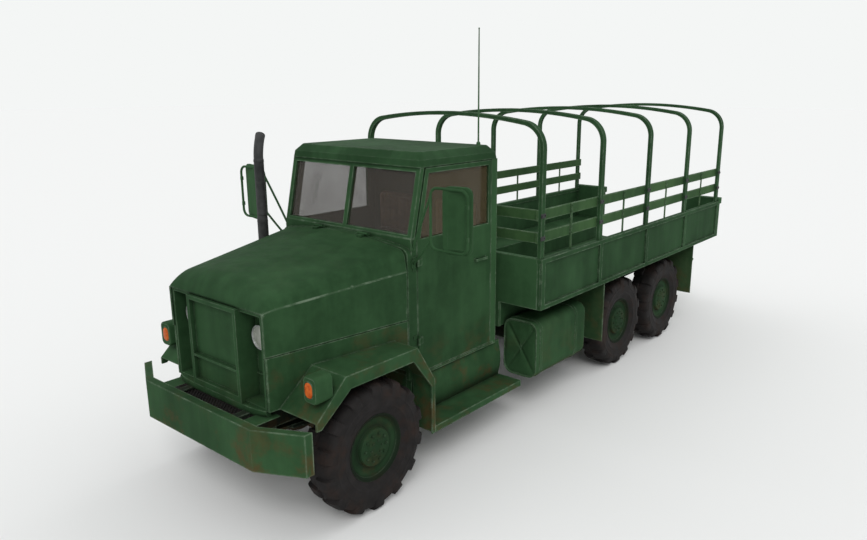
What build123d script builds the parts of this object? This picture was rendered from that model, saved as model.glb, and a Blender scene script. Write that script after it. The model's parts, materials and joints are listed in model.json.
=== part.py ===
from build123d import *
import math
import os

# Six-wheeled military cargo truck at full size, in millimetres.
# Z is up, the front faces -Y and +X is the truck's own left.
# Places along the truck are measured back from the front axle. Every piece is
# moved by origin_shift when it is saved, so the origin is at the bottom centre.

# Wheels, tyres and axles
wheel_radius = 560
tyre_width = 300
bead_clearance = 0.5
sidewall_radius = 364
shoulder_radius = 440
shoulder_width = 270
tread_edge_radius = 514
lug_count = 14
lug_height = 20
lug_gap = 14
lug_flat = 112
lug_end_radius = 505
wheel_centre_x = 939
rim_half_width = 112
rim_radius = 272
rim_thickness = 30
disc_thickness = 14
disc_reach = 41
disc_edge_reach = 98
hub_drum_radius = 170
hub_drum_taper = 14
hub_face_radius = 145
hub_face_reach = 94
hub_cap_radius = 82
hub_boss_reach = 120
hub_bore_radius = 45.05
hub_boss_hollow = 20
hub_back_reach = -60
hub_back_lip = 34
hub_back_step = 50
spindle_radius = 45
rear_axle_first = 4250
tandem_spread = 1280
axle_tube_radius = 60
differential_radius = 158
differential_half_width = 190
spring_pad_width = 110
front_pad_rise = 4
rear_pad_height = 140
rear_axle_shoulder = 75
spindle_end_inset = 25

# Frame rails and what hangs from them
rail_outer = 432
rail_height = 210
rail_flange = 75
rail_web = 12
rail_rear = 6900
crossmember_width = 80
crossmember_inset = 30
leaf_count = 5
leaf_thickness = 12
leaf_width = 70
front_spring_length = 1120
front_spring_rise = 36
rear_leaf_count = 7
rear_spring_rise = 24
spring_hanger = 18
spring_eye_half = 30
spring_seat_gap = 4
spring_side_gap = 5
trunnion_radius = 45
trunnion_drop = 50
trunnion_overhang = 30
trunnion_saddle_half = 80
trunnion_bracket_half = 90
trunnion_bracket_depth = 60
trunnion_bracket_setback = 10
tank_bracket_half = 40
tank_bracket_height = 120
tank_bracket_share = 0.2
step_bracket_half = 30
step_bracket_height = 40
step_bracket_front = 180
step_bracket_rear = 120
tandem_shaft_rise = 110

# Steering
kingpin_x = 700
kingpin_radius = 20
kingpin_clearance = 0.05
knuckle_radius = 60
knuckle_half_height = 95
yoke_gap = 6
yoke_lug = 30
yoke_reach = 140
yoke_half_depth = 50
yoke_web = 30
yoke_lug_overhang = 45
axle_end_lap = 10
axle_tip_lap = 5
steering_arm_length = 230
steering_arm_width = 44
steering_arm_thickness = 26
steering_arm_seat = 10
spindle_start = 80
ball_pin_radius = 12
ball_pin_tail = 12
tie_rod_radius = 13
tie_rod_eye_radius = 28
tie_rod_eye_thickness = 30
tie_rod_gap = 6

# Engine and driveline
engine_half_width = 290
engine_front = -480
engine_rear = 560
engine_bottom = 760
engine_top = 1560
engine_mount_front = 60
engine_mount_rear = 160
engine_mount_low = 60
engine_mount_high = 120
gearbox_half_width = 170
gearbox_length = 620
gearbox_drop = 40
gearbox_top_gap = 20
transfer_front = 1950
transfer_length = 300
transfer_drop = 160
shaft_radius = 38
main_shaft_drop = 20
low_shaft_drop = 90

# Front bumper, in three flat segments
bumper_front = -957
bumper_flat_half = 737
bumper_end_x = 1123
bumper_end_sweep = 193
bumper_bottom = 648
bumper_top = 987
bumper_depth = 72
bumper_wall = 12

# Grille shell and lamps
grille_front = -704
grille_half_width = 612
grille_bottom = 1000
grille_depth = 160
grille_wall = 20
centre_panel_half = 300
mullion_width = 36
mullion_proud = 40
panel_frame_top = 34
panel_frame_bottom = 52
grille_bar_height = 18
grille_bar_share = 0.34
bay_ledge_drop = 45
bay_ledge_size = 12
headlamp_x = 465
headlamp_z = 1545
headlamp_radius = 100
headlamp_depth = 70
headlamp_centre_share = 0.55
headlamp_back_share = 0.6
headlamp_dome_rise = 8
headlamp_rim_width = 12
headlamp_rim_setback = 24
headlamp_back_taper = 20
chin_half_width = 500
chin_drop = 46
chin_depth = 60
panel_opening_inset = 60

# Hood, widening from the nose to the cowl
hood_rear = 635
hood_front_half = 640
hood_side_bottom = 1440
hood_front_crease = 1797
hood_front_top = 1962
hood_rear_top = 2132
hood_front_round = 100
hood_rear_round = 80
hood_round_turn = 80
hood_crown_rise = 58
hood_nose_length = 150
hood_nose_bulge = 32
hood_wall = 20
hood_overhang = 12
panel_gap = 5
hood_hinge_x = 300
hood_hinge_radius = 11
hood_hinge_pin = 5
hood_hinge_length = 60
hood_hinge_leaf = 45
hood_hinge_rise = 12
hood_hinge_gap = 1

# Front fenders
fender_outer = 1088
fender_wall = 16
fender_top = 1288
fender_crease = -322
fender_front = -622
fender_front_bottom = 946
fender_rear_top = 485
fender_skirt = 702
fender_skirt_top = 880
fender_skirt_bottom = 430
fender_flange = 112
fender_face_height = 60
fender_corner_inset = 8
fender_face_inset = 12
fender_face_foot = 50
fender_front_lip = 46
fender_skirt_lip = 40
fender_flange_turn = 50
bay_foot = -440
bay_wheel_z = 1150
turn_lamp_x = 1000
turn_lamp_z = 1245
turn_lamp_front = -600
turn_lamp_depth = 160
turn_lamp_half = 76
turn_lamp_height = 214
turn_lamp_corner = 44
turn_lens_half = 46
turn_lens_height = 132
turn_lens_shift = 10
turn_lens_proud = 12

# Cab
cab_half_width = 840
cab_wall = 40
cab_front = 640
cab_rear = 1923
cab_side_bottom = 875
cab_floor_thickness = 30
cowl_top = 2150
cowl_shoulder_drop = 260
cowl_shoulder_setback = 50
cab_rail_gap = 20
firewall_thickness = 25
roof_top = 2871
roof_gutter = 2745
roof_inset = 62
roof_wall = 36
roof_overhang = 6
roof_brow_rise = 62
roof_brow_inset = 8
roof_foot_round = 40
roof_brow_round = 50
roof_crown_round = 60
roof_lining = 14
screen_base_y = 690
screen_slope = 0.227
screen_depth = 45
screen_post = 26
screen_sill = 2180
screen_head = 2705
screen_jamb = 50
glass_thickness = 6

# Doors, hinged at the front edge
door_front = 765
door_rear = 1828
door_bottom = 905
door_top = 2738
door_slant_start = 2202
door_slant_top = 890
window_front = 808
window_front_top = 928
window_rear = 1785
window_bottom = 2135
window_top = 2692
hinge_radius = 12
hinge_pin_radius = 6
hinge_length = 60
hinge_leaf = 6
hinge_leaf_length = 60
hinge_end_length = 30
hinge_gap = 2
hinge_heights = [1180, 1900]
handle_start = 1570
handle_end = 1750
handle_z = 1803
handle_proud = 26
handle_half_height = 11
handle_bar = 10
handle_foot = 24

# Cab inside
seat_x = 400
seat_width = 540
seat_cushion_depth = 480
seat_cushion_height = 130
seat_cushion_round = 20
seat_gap = 4
seat_top = 1480
seat_back_thickness = 120
seat_back_top = 2345
seat_back_round = 70
seat_box_height = 330
seat_box_inset = 20
seat_box_overhang = 60
dash_rear = 800
dash_bottom = 1800
dash_top = 2095
steering_wheel_x = 410
steering_wheel_y = 1010
steering_wheel_z = 2035
steering_wheel_radius = 230
steering_wheel_rim = 15
steering_wheel_tilt = 40
steering_hub_drop = 14
steering_hub_radius = 38
steering_hub_height = 36
steering_hub_bore = 40
steering_spoke_drop = 6
steering_spoke_width = 24
steering_spoke_thickness = 10
steering_spoke_count = 3
column_radius = 22
column_shaft_radius = 9
column_gap = 6

# Mirrors on tube loops
mirror_x = 1346
mirror_y = 674
mirror_z = 2366
mirror_width = 250
mirror_height = 530
mirror_thickness = 34
mirror_corner = 60
mirror_tube = 12
loop_half_width = 142
loop_half_height = 254
loop_corner = 70
loop_inner_x = 1100
loop_seat = 3
mirror_arm_high_drop = 70
mirror_arm_low_drop = 220
mirror_arm_setback = 70

# Exhaust stack and aerial
stack_x = 905
stack_y = 453
stack_radius = 45
stack_top = 2960
stack_bottom = 1340
stack_bend = 170
stack_tip_out = 74
stack_tip_back = 91
stack_guard_bottom = 2200
stack_guard_top = 2740
stack_guard_wall = 4
stack_knee_share = 0.6
antenna_inset = 80
antenna_y = 1725
antenna_radius = 9
antenna_top = 3930
antenna_base_radius = 24
antenna_base_height = 40

# Steps, tanks and mud plates
step_top = 490
step_thickness = 60
step_board = 12
step_wall = 14
step_back_inset = 50
step_rear = 2040
tank_front = 2250
tank_length = 1000
tank_outer = 1130
tank_inner = 716
tank_bottom = 430
tank_top = 1050
tank_corner = 110
tank_end_proud = 14
tank_cross_width = 46
tank_cross_share = 0.9
tank_strap_width = 44
tank_strap_proud = 6
tank_strap_front = 70
tank_strap_rear = 780
tank_foot_half = 34
tank_foot_drop = 26
mud_plate_thickness = 14
mud_plate_setback = 25
mud_plate_inner = 736
mud_plate_bottom = 510
mud_plate_clearance = 120

# Cargo bed
bed_front = 2169
bed_rear = 7025
bed_half_width = 1220
bed_top = 1753
bed_side_bottom = 1226
rib_depth = 20
bed_wall = 30
bed_rail_width = 60
bed_top_rail = 48
bed_bottom_rail = 46
rib_width = 64
trough_half = 676
trough_floor = 984
trough_wall = 30
shelf_top = 1280
bow_count = 5
bow_width = 64
bow_thickness = 40
bow_setback = 23
bow_eaves = 3055
bow_crown = 3165
bow_corner = 270
bow_end_gap = 8
slat_height = 106
slat_thickness = 25
slat_bottoms = [1904, 2130]
strap_width = 30
strap_thickness = 10
rear_panel_thickness = 40
cap_height = 84
cap_depth = 110
cap_top = 1800
cap_overhang = 8
cap_round = 34
tail_lamp_x = 935
tail_lamp_width = 150
tail_lamp_height = 100
tail_lamp_depth = 80
tail_lens_radius = 36
tail_lens_proud = 12
ramp_length = 675
ramp_thickness = 32
ramp_angle = 26.8
ramp_side_gap = 8
ramp_hinge_radius = 16
ramp_hinge_gap = 8
ramp_pin_radius = 7

# Places that follow from the sizes above
far = 10000
cut_margin = 10
hood_rear_half = cab_half_width
screen_side = cab_half_width - screen_jamb
antenna_x = cab_half_width - antenna_inset
step_inner = cab_half_width - step_back_inset
axle_z = wheel_radius
bed_panel_out = bed_half_width - rib_depth
bow_outer = bed_half_width - bow_setback
mud_plate_outer = bed_half_width - mud_plate_setback
rear_axles = [rear_axle_first, rear_axle_first + tandem_spread]
tandem_centre = rear_axle_first + tandem_spread / 2
bed_floor_bottom = trough_floor - trough_wall
rail_top = bed_floor_bottom
rail_bottom = rail_top - rail_height
rail_front = bumper_front + bumper_wall
spring_x = rail_outer - leaf_width / 2 - spring_side_gap
ramp_hinge_y = bed_rear + ramp_hinge_gap + ramp_hinge_radius
ramp_hinge_z = trough_floor - ramp_hinge_radius
ramp_rise = math.radians(ramp_angle)
ramp_tip = ramp_hinge_y + ramp_length * math.cos(ramp_rise) + ramp_hinge_radius * math.sin(ramp_rise)
origin_shift = -(ramp_tip + bumper_front) / 2


def block(x_range, y_range, z_range):
    """A box between two corners, each range given as low and high."""
    size = [high - low for low, high in (x_range, y_range, z_range)]
    centre = [(high + low) / 2 for low, high in (x_range, y_range, z_range)]
    return Pos(*centre) * Box(*size)


def side_profile(points, x_low, x_high):
    """A polygon of (y, z) points carried across the truck from x_low to x_high."""
    face = Plane.YZ * make_face(Polyline(*points, close=True))
    return Pos(x_low, 0, 0) * extrude(face, x_high - x_low)


def cross_rod(x_low, x_high, y, z, radius):
    """A round bar along X."""
    return Pos((x_low + x_high) / 2, y, z) * Rot(0, 90, 0) * Cylinder(radius, x_high - x_low)


def long_rod(start, end, radius):
    """A round bar between two points."""
    axis = Vector(*end) - Vector(*start)
    return Plane(origin=start, z_dir=axis) * Cylinder(
        radius, axis.length, align=(Align.CENTER, Align.CENTER, Align.MIN)
    )


def other_side(shape):
    """The same piece on the other side of the truck."""
    return mirror(shape, about=Plane.YZ)


def save(name, *shapes):
    """Write one node, moved so that the origin is at the bottom centre."""
    solids = []
    for shape in shapes:
        solids.extend(shape.solids())
    whole = solids[0] if len(solids) == 1 else Compound(solids)
    export_step(whole.moved(Location((0, origin_shift, 0))), f"parts/{name}.step")


os.makedirs("parts", exist_ok=True)


# Tyres and wheels, drawn round the X axis at the origin and then placed

def tyre():
    """A ring of flat-sided wedges, each with one lug on alternate halves of the tread."""
    half = tyre_width / 2
    tread = wheel_radius - lug_height
    seat = rim_radius + bead_clearance
    outline = [
        (-rim_half_width, seat),
        (-half, sidewall_radius),
        (-half, shoulder_radius),
        (-shoulder_width / 2, tread_edge_radius),
        (0, tread),
        (lug_gap / 2, tread),
        (lug_gap / 2, wheel_radius),
        (lug_flat, wheel_radius),
        (half, lug_end_radius),
        (half, sidewall_radius),
        (rim_half_width, seat),
    ]
    slab = extrude(Plane.XZ * make_face(Polyline(*outline, close=True)), wheel_radius, both=True)
    step = 180 / lug_count
    reach = 2 * wheel_radius
    spread = reach * math.tan(math.radians(step / 2))
    wedge = slab & side_profile([(0, 0), (spread, reach), (-spread, reach)], -tyre_width, tyre_width)
    other = mirror(wedge, about=Plane.YZ)
    wedges = []
    for index in range(lug_count):
        wedges.append(Rot(2 * index * step, 0, 0) * wedge)
        wedges.append(Rot((2 * index + 1) * step, 0, 0) * other)
    return wedges[0] + wedges[1:]


def wheel():
    """A wheel whose outer face looks along +X: a dished disc, a raised drum and a centre cap."""
    inner = rim_radius - rim_thickness
    disc_in = disc_reach - disc_thickness
    outline = Polyline(
        (-rim_half_width, inner),
        (-rim_half_width, rim_radius),
        (rim_half_width, rim_radius),
        (rim_half_width, inner + disc_thickness),
        (disc_edge_reach, inner),
        (disc_edge_reach / 2 + disc_reach / 2 - disc_thickness, inner - disc_thickness),
        (disc_reach, hub_drum_radius + disc_thickness),
        (disc_reach, hub_drum_radius),
        (hub_face_reach - hub_drum_taper / 2, hub_drum_radius - hub_drum_taper),
        (hub_face_reach, hub_face_radius),
        (hub_face_reach, hub_cap_radius),
        (hub_boss_reach - disc_thickness / 2, hub_cap_radius - hub_drum_taper / 2),
        (hub_boss_reach, hub_cap_radius - hub_drum_taper),
        (hub_boss_reach, 0),
        (hub_boss_reach - hub_boss_hollow, 0),
        (hub_boss_reach - hub_boss_hollow, hub_bore_radius),
        (hub_back_reach, hub_bore_radius),
        (hub_back_reach, hub_bore_radius + hub_back_lip),
        (disc_in - disc_thickness, hub_bore_radius + hub_back_step),
        (disc_in, hub_drum_radius),
        (disc_in, hub_drum_radius + disc_thickness),
        (disc_edge_reach - 2 * disc_thickness, inner - disc_thickness),
        (disc_edge_reach - 2 * disc_thickness, inner),
        close=True,
    )
    return revolve(make_face(outline), Axis.X)


tyre_solid = tyre()
wheel_solid = wheel()
wheel_places = [
    # name, side, distance behind the front axle
    ("front_left", 1, 0),
    ("front_right", -1, 0),
    ("middle_left", 1, rear_axles[0]),
    ("middle_right", -1, rear_axles[0]),
    ("rear_left", 1, rear_axles[1]),
    ("rear_right", -1, rear_axles[1]),
]
for place, side, distance in wheel_places:
    location = Pos(side * wheel_centre_x, distance, axle_z)
    turn = Rot(0, 0, 0) if side > 0 else Rot(0, 0, 180)
    save(f"tyre_{place}", location * turn * tyre_solid)
    save(f"wheel_{place}", location * turn * wheel_solid)


# Axles

def axle_casing(y, reach, tip):
    """Tube, differential bowl and spindles turned about one line along X."""
    arc = ThreePointArc(
        (-differential_half_width, axle_tube_radius),
        (0, differential_radius),
        (differential_half_width, axle_tube_radius),
    )
    edge = Polyline(
        (differential_half_width, axle_tube_radius),
        (reach, axle_tube_radius),
        (reach, spindle_radius),
        (tip, spindle_radius),
        (tip, 0),
        (-tip, 0),
        (-tip, spindle_radius),
        (-reach, spindle_radius),
        (-reach, axle_tube_radius),
        (-differential_half_width, axle_tube_radius),
    )
    return Pos(0, y, axle_z) * revolve(make_face(arc + edge), Axis.X)


def front_axle():
    reach = kingpin_x - yoke_reach
    lug_low = knuckle_half_height + yoke_gap
    lug_high = lug_low + yoke_lug
    axle = axle_casing(0, reach - axle_end_lap, reach - axle_tip_lap)
    for side in (1, -1):
        y_range = (-yoke_half_depth, yoke_half_depth)
        lug_range = (reach, kingpin_x + yoke_lug_overhang)
        web = block((reach - yoke_web, reach), y_range, (axle_z - lug_high, axle_z + lug_high))
        lugs = block(lug_range, y_range, (axle_z + lug_low, axle_z + lug_high))
        lugs += block(lug_range, y_range, (axle_z - lug_high, axle_z - lug_low))
        pin_hole = Pos(kingpin_x, 0, axle_z) * Cylinder(kingpin_radius + kingpin_clearance, 3 * lug_high)
        pad = block(
            (spring_x - leaf_width / 2, spring_x + leaf_width / 2),
            (-spring_pad_width / 2, spring_pad_width / 2),
            (axle_z, axle_z + axle_tube_radius + front_pad_rise),
        )
        end = web + (lugs - pin_hole) + pad
        axle += end if side > 0 else other_side(end)
    return axle


rear_pad_top = axle_z + rear_pad_height


def rear_axle(y):
    reach = wheel_centre_x - rear_axle_shoulder
    tip = wheel_centre_x + hub_boss_reach - spindle_end_inset
    axle = axle_casing(y, reach, tip)
    for side in (1, -1):
        pad = block(
            (spring_x - leaf_width / 2, spring_x + leaf_width / 2),
            (y - spring_pad_width / 2, y + spring_pad_width / 2),
            (axle_z, rear_pad_top),
        )
        axle += pad if side > 0 else other_side(pad)
    return axle


axle_solids = [front_axle(), rear_axle(rear_axles[0]), rear_axle(rear_axles[1])]
save("axles", *axle_solids)


# Leaf springs, bent so that both ends stand higher than the middle

def leaf_bend(length, rise):
    """Radius of a leaf that rises by rise at half its length."""
    return (length ** 2 / 4 + rise ** 2) / (2 * rise)


def leaf_pack(y, bottom, count, length, rise, eye_pad):
    radius = leaf_bend(length, rise)
    pack = None
    for index in range(count):
        half = length / 2 * (index + 1) / count
        low = bottom + index * leaf_thickness
        centre = low + radius
        high_radius = radius - leaf_thickness
        low_tip = centre - math.sqrt(radius ** 2 - half ** 2)
        high_tip = centre - math.sqrt(high_radius ** 2 - half ** 2)
        edge = (
            ThreePointArc((y - half, low_tip), (y, low), (y + half, low_tip))
            + Line((y + half, low_tip), (y + half, high_tip))
            + ThreePointArc((y + half, high_tip), (y, low + leaf_thickness), (y - half, high_tip))
            + Line((y - half, high_tip), (y - half, low_tip))
        )
        face = Plane.YZ * make_face(edge)
        leaf = Pos(spring_x - leaf_width / 2, 0, 0) * extrude(face, leaf_width)
        pack = leaf if pack is None else pack + leaf
    if eye_pad:
        tip = bottom + count * leaf_thickness + rise
        for end in (-1, 1):
            eye_y = y + end * (length / 2 - spring_eye_half)
            pack += block(
                (spring_x - leaf_width / 2, spring_x + leaf_width / 2),
                (eye_y - spring_eye_half, eye_y + spring_eye_half),
                (tip - leaf_thickness, rail_bottom - spring_hanger),
            )
    return pack


front_spring_bottom = axle_z + axle_tube_radius + spring_seat_gap
front_spring = leaf_pack(
    0, front_spring_bottom, leaf_count, front_spring_length, front_spring_rise, True
)
rear_bend = leaf_bend(tandem_spread, rear_spring_rise)
seat_rise = rear_bend - math.sqrt(rear_bend ** 2 - (tandem_spread / 2 - spring_pad_width / 2) ** 2)
rear_spring_bottom = rear_pad_top - seat_rise - (rear_leaf_count - 1) * leaf_thickness
rear_spring = leaf_pack(
    tandem_centre, rear_spring_bottom, rear_leaf_count, tandem_spread, rear_spring_rise, False
)
save("leaf_springs", front_spring, other_side(front_spring), rear_spring, other_side(rear_spring))


# Frame

def rail():
    outer = block((rail_outer - rail_flange, rail_outer), (rail_front, rail_rear), (rail_bottom, rail_top))
    hollow = block(
        (rail_outer - rail_flange - 1, rail_outer - rail_web),
        (rail_front - 1, rail_rear + 1),
        (rail_bottom + rail_web, rail_top - rail_web),
    )
    return outer - hollow


crossmembers = [-600, 1350, 2300, 3350, tandem_centre, 6050, rail_rear - crossmember_width]


def chassis_frame():
    web = rail_outer - rail_web
    rail_inner = rail_outer - rail_flange
    frame = rail() + other_side(rail())
    for y in crossmembers:
        frame += block(
            (-web, web),
            (y - crossmember_width / 2, y + crossmember_width / 2),
            (rail_bottom + crossmember_inset, rail_top - crossmember_inset),
        )
    trunnion_z = rear_spring_bottom - trunnion_drop
    trunnion_end = spring_x + trunnion_overhang
    frame += cross_rod(-trunnion_end, trunnion_end, tandem_centre, trunnion_z, trunnion_radius)
    for side in (1, -1):
        hanger = None
        for end in (-1, 1):
            eye_y = end * (front_spring_length / 2 - spring_eye_half)
            piece = block(
                (spring_x - leaf_width / 2, spring_x + leaf_width / 2),
                (eye_y - spring_eye_half, eye_y + spring_eye_half),
                (rail_bottom - spring_hanger, rail_bottom),
            )
            hanger = piece if hanger is None else hanger + piece
        saddle = block(
            (spring_x - leaf_width / 2, spring_x + leaf_width / 2),
            (tandem_centre - trunnion_saddle_half, tandem_centre + trunnion_saddle_half),
            (trunnion_z, rear_spring_bottom),
        )
        bracket = block(
            (rail_inner - trunnion_bracket_depth, rail_inner - trunnion_bracket_setback),
            (tandem_centre - trunnion_bracket_half, tandem_centre + trunnion_bracket_half),
            (trunnion_z - trunnion_bracket_depth, rail_top - crossmember_inset),
        )
        pieces = hanger + saddle + bracket
        for share in (tank_bracket_share, 1 - tank_bracket_share):
            y = tank_front + tank_length * share
            y_range = (y - tank_bracket_half, y + tank_bracket_half)
            pieces += block((rail_outer, tank_inner), y_range, (rail_bottom, rail_bottom + tank_bracket_height))
        for y in (fender_skirt + step_bracket_front, step_rear - step_bracket_rear):
            y_range = (y - step_bracket_half, y + step_bracket_half)
            pieces += block((rail_outer, step_inner), y_range, (rail_bottom, rail_bottom + step_bracket_height))
            drop_x = (step_inner - step_bracket_half, step_inner)
            pieces += block(drop_x, y_range, (step_top - step_thickness, rail_bottom))
        frame += pieces if side > 0 else other_side(pieces)
    return frame


save("chassis_frame", chassis_frame())


# Engine as one plain block, with gearbox, transfer case and shafts

def driveline():
    engine = block(
        (-engine_half_width, engine_half_width), (engine_front, engine_rear), (engine_bottom, engine_top)
    )
    mount_reach = rail_outer - rail_web
    engine += block(
        (-mount_reach, mount_reach),
        (engine_mount_front, engine_mount_rear),
        (rail_bottom + engine_mount_low, rail_bottom + engine_mount_high),
    )
    gearbox = block(
        (-gearbox_half_width, gearbox_half_width),
        (engine_rear, engine_rear + gearbox_length),
        (rail_bottom - gearbox_drop, rail_top - gearbox_top_gap),
    )
    transfer = block(
        (-gearbox_half_width, gearbox_half_width),
        (transfer_front, transfer_front + transfer_length),
        (rail_bottom - transfer_drop, rail_top - gearbox_top_gap),
    )
    low_z = rail_bottom - low_shaft_drop
    main_z = rail_bottom - main_shaft_drop
    pieces = engine + gearbox + transfer
    pieces += long_rod((0, engine_rear + gearbox_length, main_z), (0, transfer_front, main_z), shaft_radius)
    pieces += long_rod((0, transfer_front, low_z), (0, 0, axle_z), shaft_radius)
    pieces += long_rod(
        (0, transfer_front + transfer_length, low_z), (0, rear_axles[0], axle_z), shaft_radius
    )
    high_z = axle_z + tandem_shaft_rise
    tandem = long_rod((0, rear_axles[0], high_z), (0, rear_axles[1], high_z), shaft_radius - 6)
    for axle in axle_solids:
        pieces -= axle
        tandem -= axle
    longest = sorted(pieces.solids(), key=lambda solid: solid.volume)[-1]
    middle = sorted(tandem.solids(), key=lambda solid: solid.volume)[-1]
    return longest, middle


main_driveline, tandem_shaft = driveline()
save("engine_and_driveline", main_driveline, tandem_shaft)


# Steering knuckles, each turning on its kingpin

def knuckle():
    body = Pos(kingpin_x, 0, axle_z) * Cylinder(knuckle_radius, 2 * knuckle_half_height)
    pin_height = 2 * (knuckle_half_height + yoke_gap + yoke_lug)
    body += Pos(kingpin_x, 0, axle_z) * Cylinder(kingpin_radius, pin_height)
    body += cross_rod(kingpin_x, wheel_centre_x - spindle_start, 0, axle_z, knuckle_radius)
    tip = wheel_centre_x + hub_boss_reach - spindle_end_inset
    body += cross_rod(kingpin_x, tip, 0, axle_z, spindle_radius)
    arm_low = axle_z - knuckle_half_height + steering_arm_seat
    body += block(
        (kingpin_x - steering_arm_width / 2, kingpin_x + steering_arm_width / 2),
        (0, steering_arm_length + steering_arm_width / 2),
        (arm_low, arm_low + steering_arm_thickness),
    )
    pin_low = arm_low - tie_rod_eye_thickness - ball_pin_tail
    pin = Pos(kingpin_x, steering_arm_length, 0) * Cylinder(
        ball_pin_radius, arm_low - pin_low, align=(Align.CENTER, Align.CENTER, Align.MIN)
    )
    return body + Pos(0, 0, pin_low) * pin


save("steering_knuckle_left", knuckle())
save("steering_knuckle_right", other_side(knuckle()))


def tie_rod():
    top = axle_z - knuckle_half_height + steering_arm_seat - tie_rod_gap
    middle = top - tie_rod_eye_thickness / 2
    rod = cross_rod(-kingpin_x, kingpin_x, steering_arm_length, middle, tie_rod_radius)
    for x in (-kingpin_x, kingpin_x):
        rod += Pos(x, steering_arm_length, middle) * Cylinder(tie_rod_eye_radius, tie_rod_eye_thickness)
    for x in (-kingpin_x, kingpin_x):
        hole = Cylinder(ball_pin_radius + kingpin_clearance, 2 * tie_rod_eye_thickness)
        rod -= Pos(x, steering_arm_length, middle) * hole
    return rod


save("tie_rod", tie_rod())


# Front bumper: a channel bent back at both ends

def bumper_prism(inset, low, high):
    end_y = bumper_front + bumper_end_sweep
    depth = bumper_depth + inset
    end_x = bumper_end_x - inset
    outline = [
        (-end_x, end_y + inset),
        (-bumper_flat_half, bumper_front + inset),
        (bumper_flat_half, bumper_front + inset),
        (end_x, end_y + inset),
        (end_x, end_y + depth),
        (bumper_flat_half, bumper_front + depth),
        (-bumper_flat_half, bumper_front + depth),
        (-end_x, end_y + depth),
    ]
    return Pos(0, 0, low) * extrude(make_face(Polyline(*outline, close=True)), high - low)


bumper = bumper_prism(0, bumper_bottom, bumper_top)
bumper -= bumper_prism(bumper_wall, bumper_bottom + bumper_wall, bumper_top - bumper_wall)
save("front_bumper", bumper)


# Grille shell with a flat centre panel and two deep lamp bays

def grille():
    front = grille_front
    rear = grille_front + grille_depth
    half = grille_half_width
    top = hood_front_crease - hood_wall - panel_gap
    panel = centre_panel_half
    proud = front - mullion_proud
    shell = block((-half, half), (front, rear), (grille_bottom, top))
    shell += block(
        (-chin_half_width, chin_half_width),
        (front, front + chin_depth),
        (grille_bottom - chin_drop, grille_bottom),
    )
    inner_mullion = panel + mullion_width
    bar_z = grille_bottom + grille_bar_share * (top - grille_bottom)
    for side in (1, -1):
        bay = block(
            (inner_mullion, half - grille_wall),
            (front - 1, rear - grille_wall),
            (grille_bottom + grille_wall, top - grille_wall),
        )
        ledge = block(
            (inner_mullion, half - grille_wall),
            (rear - grille_wall - bay_ledge_size, rear - grille_wall),
            (bar_z - bay_ledge_drop - bay_ledge_size, bar_z - bay_ledge_drop),
        )
        mullion = block((panel, inner_mullion), (proud, front), (grille_bottom, top))
        hollow_bay = bay - ledge
        shell -= hollow_bay if side > 0 else other_side(hollow_bay)
        shell += mullion if side > 0 else other_side(mullion)
    shell -= block(
        (-panel, panel),
        (front + grille_wall, rear + 1),
        (grille_bottom + panel_opening_inset, top - panel_opening_inset),
    )
    for low, high in (
        (grille_bottom, grille_bottom + panel_frame_bottom),
        (bar_z - grille_bar_height / 2, bar_z + grille_bar_height / 2),
        (top - panel_frame_top, top),
    ):
        shell += block((-panel, panel), (proud, front), (low, high))
    return shell


save("grille_shell", grille())


def headlamp():
    back = grille_front + grille_depth - grille_wall
    front = back - headlamp_depth
    outline = Polyline(
        (0, back),
        (0, front),
        (headlamp_radius * headlamp_centre_share, front + headlamp_dome_rise),
        (headlamp_radius - headlamp_rim_width, front + headlamp_rim_setback),
        (headlamp_radius, front + headlamp_rim_setback),
        (headlamp_radius, back - headlamp_back_taper),
        (headlamp_radius * headlamp_back_share, back),
        close=True,
    )
    lamp = revolve(make_face(outline), Axis.Y)
    return Pos(headlamp_x, 0, headlamp_z) * lamp


save("headlamps", headlamp(), other_side(headlamp()))


# Hood: a crowned shell lofted from the nose section to the cowl section

def hood_section(half, top, round_radius, bottom, inset):
    """Upright sides, a rounded shoulder and a low crown, drawn in by the inset."""
    side = half - inset
    radius = round_radius - inset
    high = top - inset
    start = high - hood_crown_rise - radius
    turn = math.radians(hood_round_turn)
    end_x = side - radius * (1 - math.cos(turn))
    end_z = start + radius * math.sin(turn)
    middle_x = side - radius * (1 - math.cos(turn / 2))
    middle_z = start + radius * math.sin(turn / 2)
    edge = (
        Line((-side, bottom), (-side, start))
        + ThreePointArc((-side, start), (-middle_x, middle_z), (-end_x, end_z))
        + ThreePointArc((-end_x, end_z), (0, high), (end_x, end_z))
        + ThreePointArc((end_x, end_z), (middle_x, middle_z), (side, start))
        + Line((side, start), (side, bottom))
        + Line((side, bottom), (-side, bottom))
    )
    return make_face(edge)


def hood_body(inset, bottom, front, rear):
    first = Plane(origin=(0, front, 0), x_dir=(1, 0, 0), z_dir=(0, -1, 0)) * hood_section(
        hood_front_half, hood_front_top, hood_front_round, bottom, inset
    )
    last = Plane(origin=(0, rear, 0), x_dir=(1, 0, 0), z_dir=(0, -1, 0)) * hood_section(
        hood_rear_half, hood_rear_top, hood_rear_round, bottom, inset
    )
    return loft([first, last], ruled=True)


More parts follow.
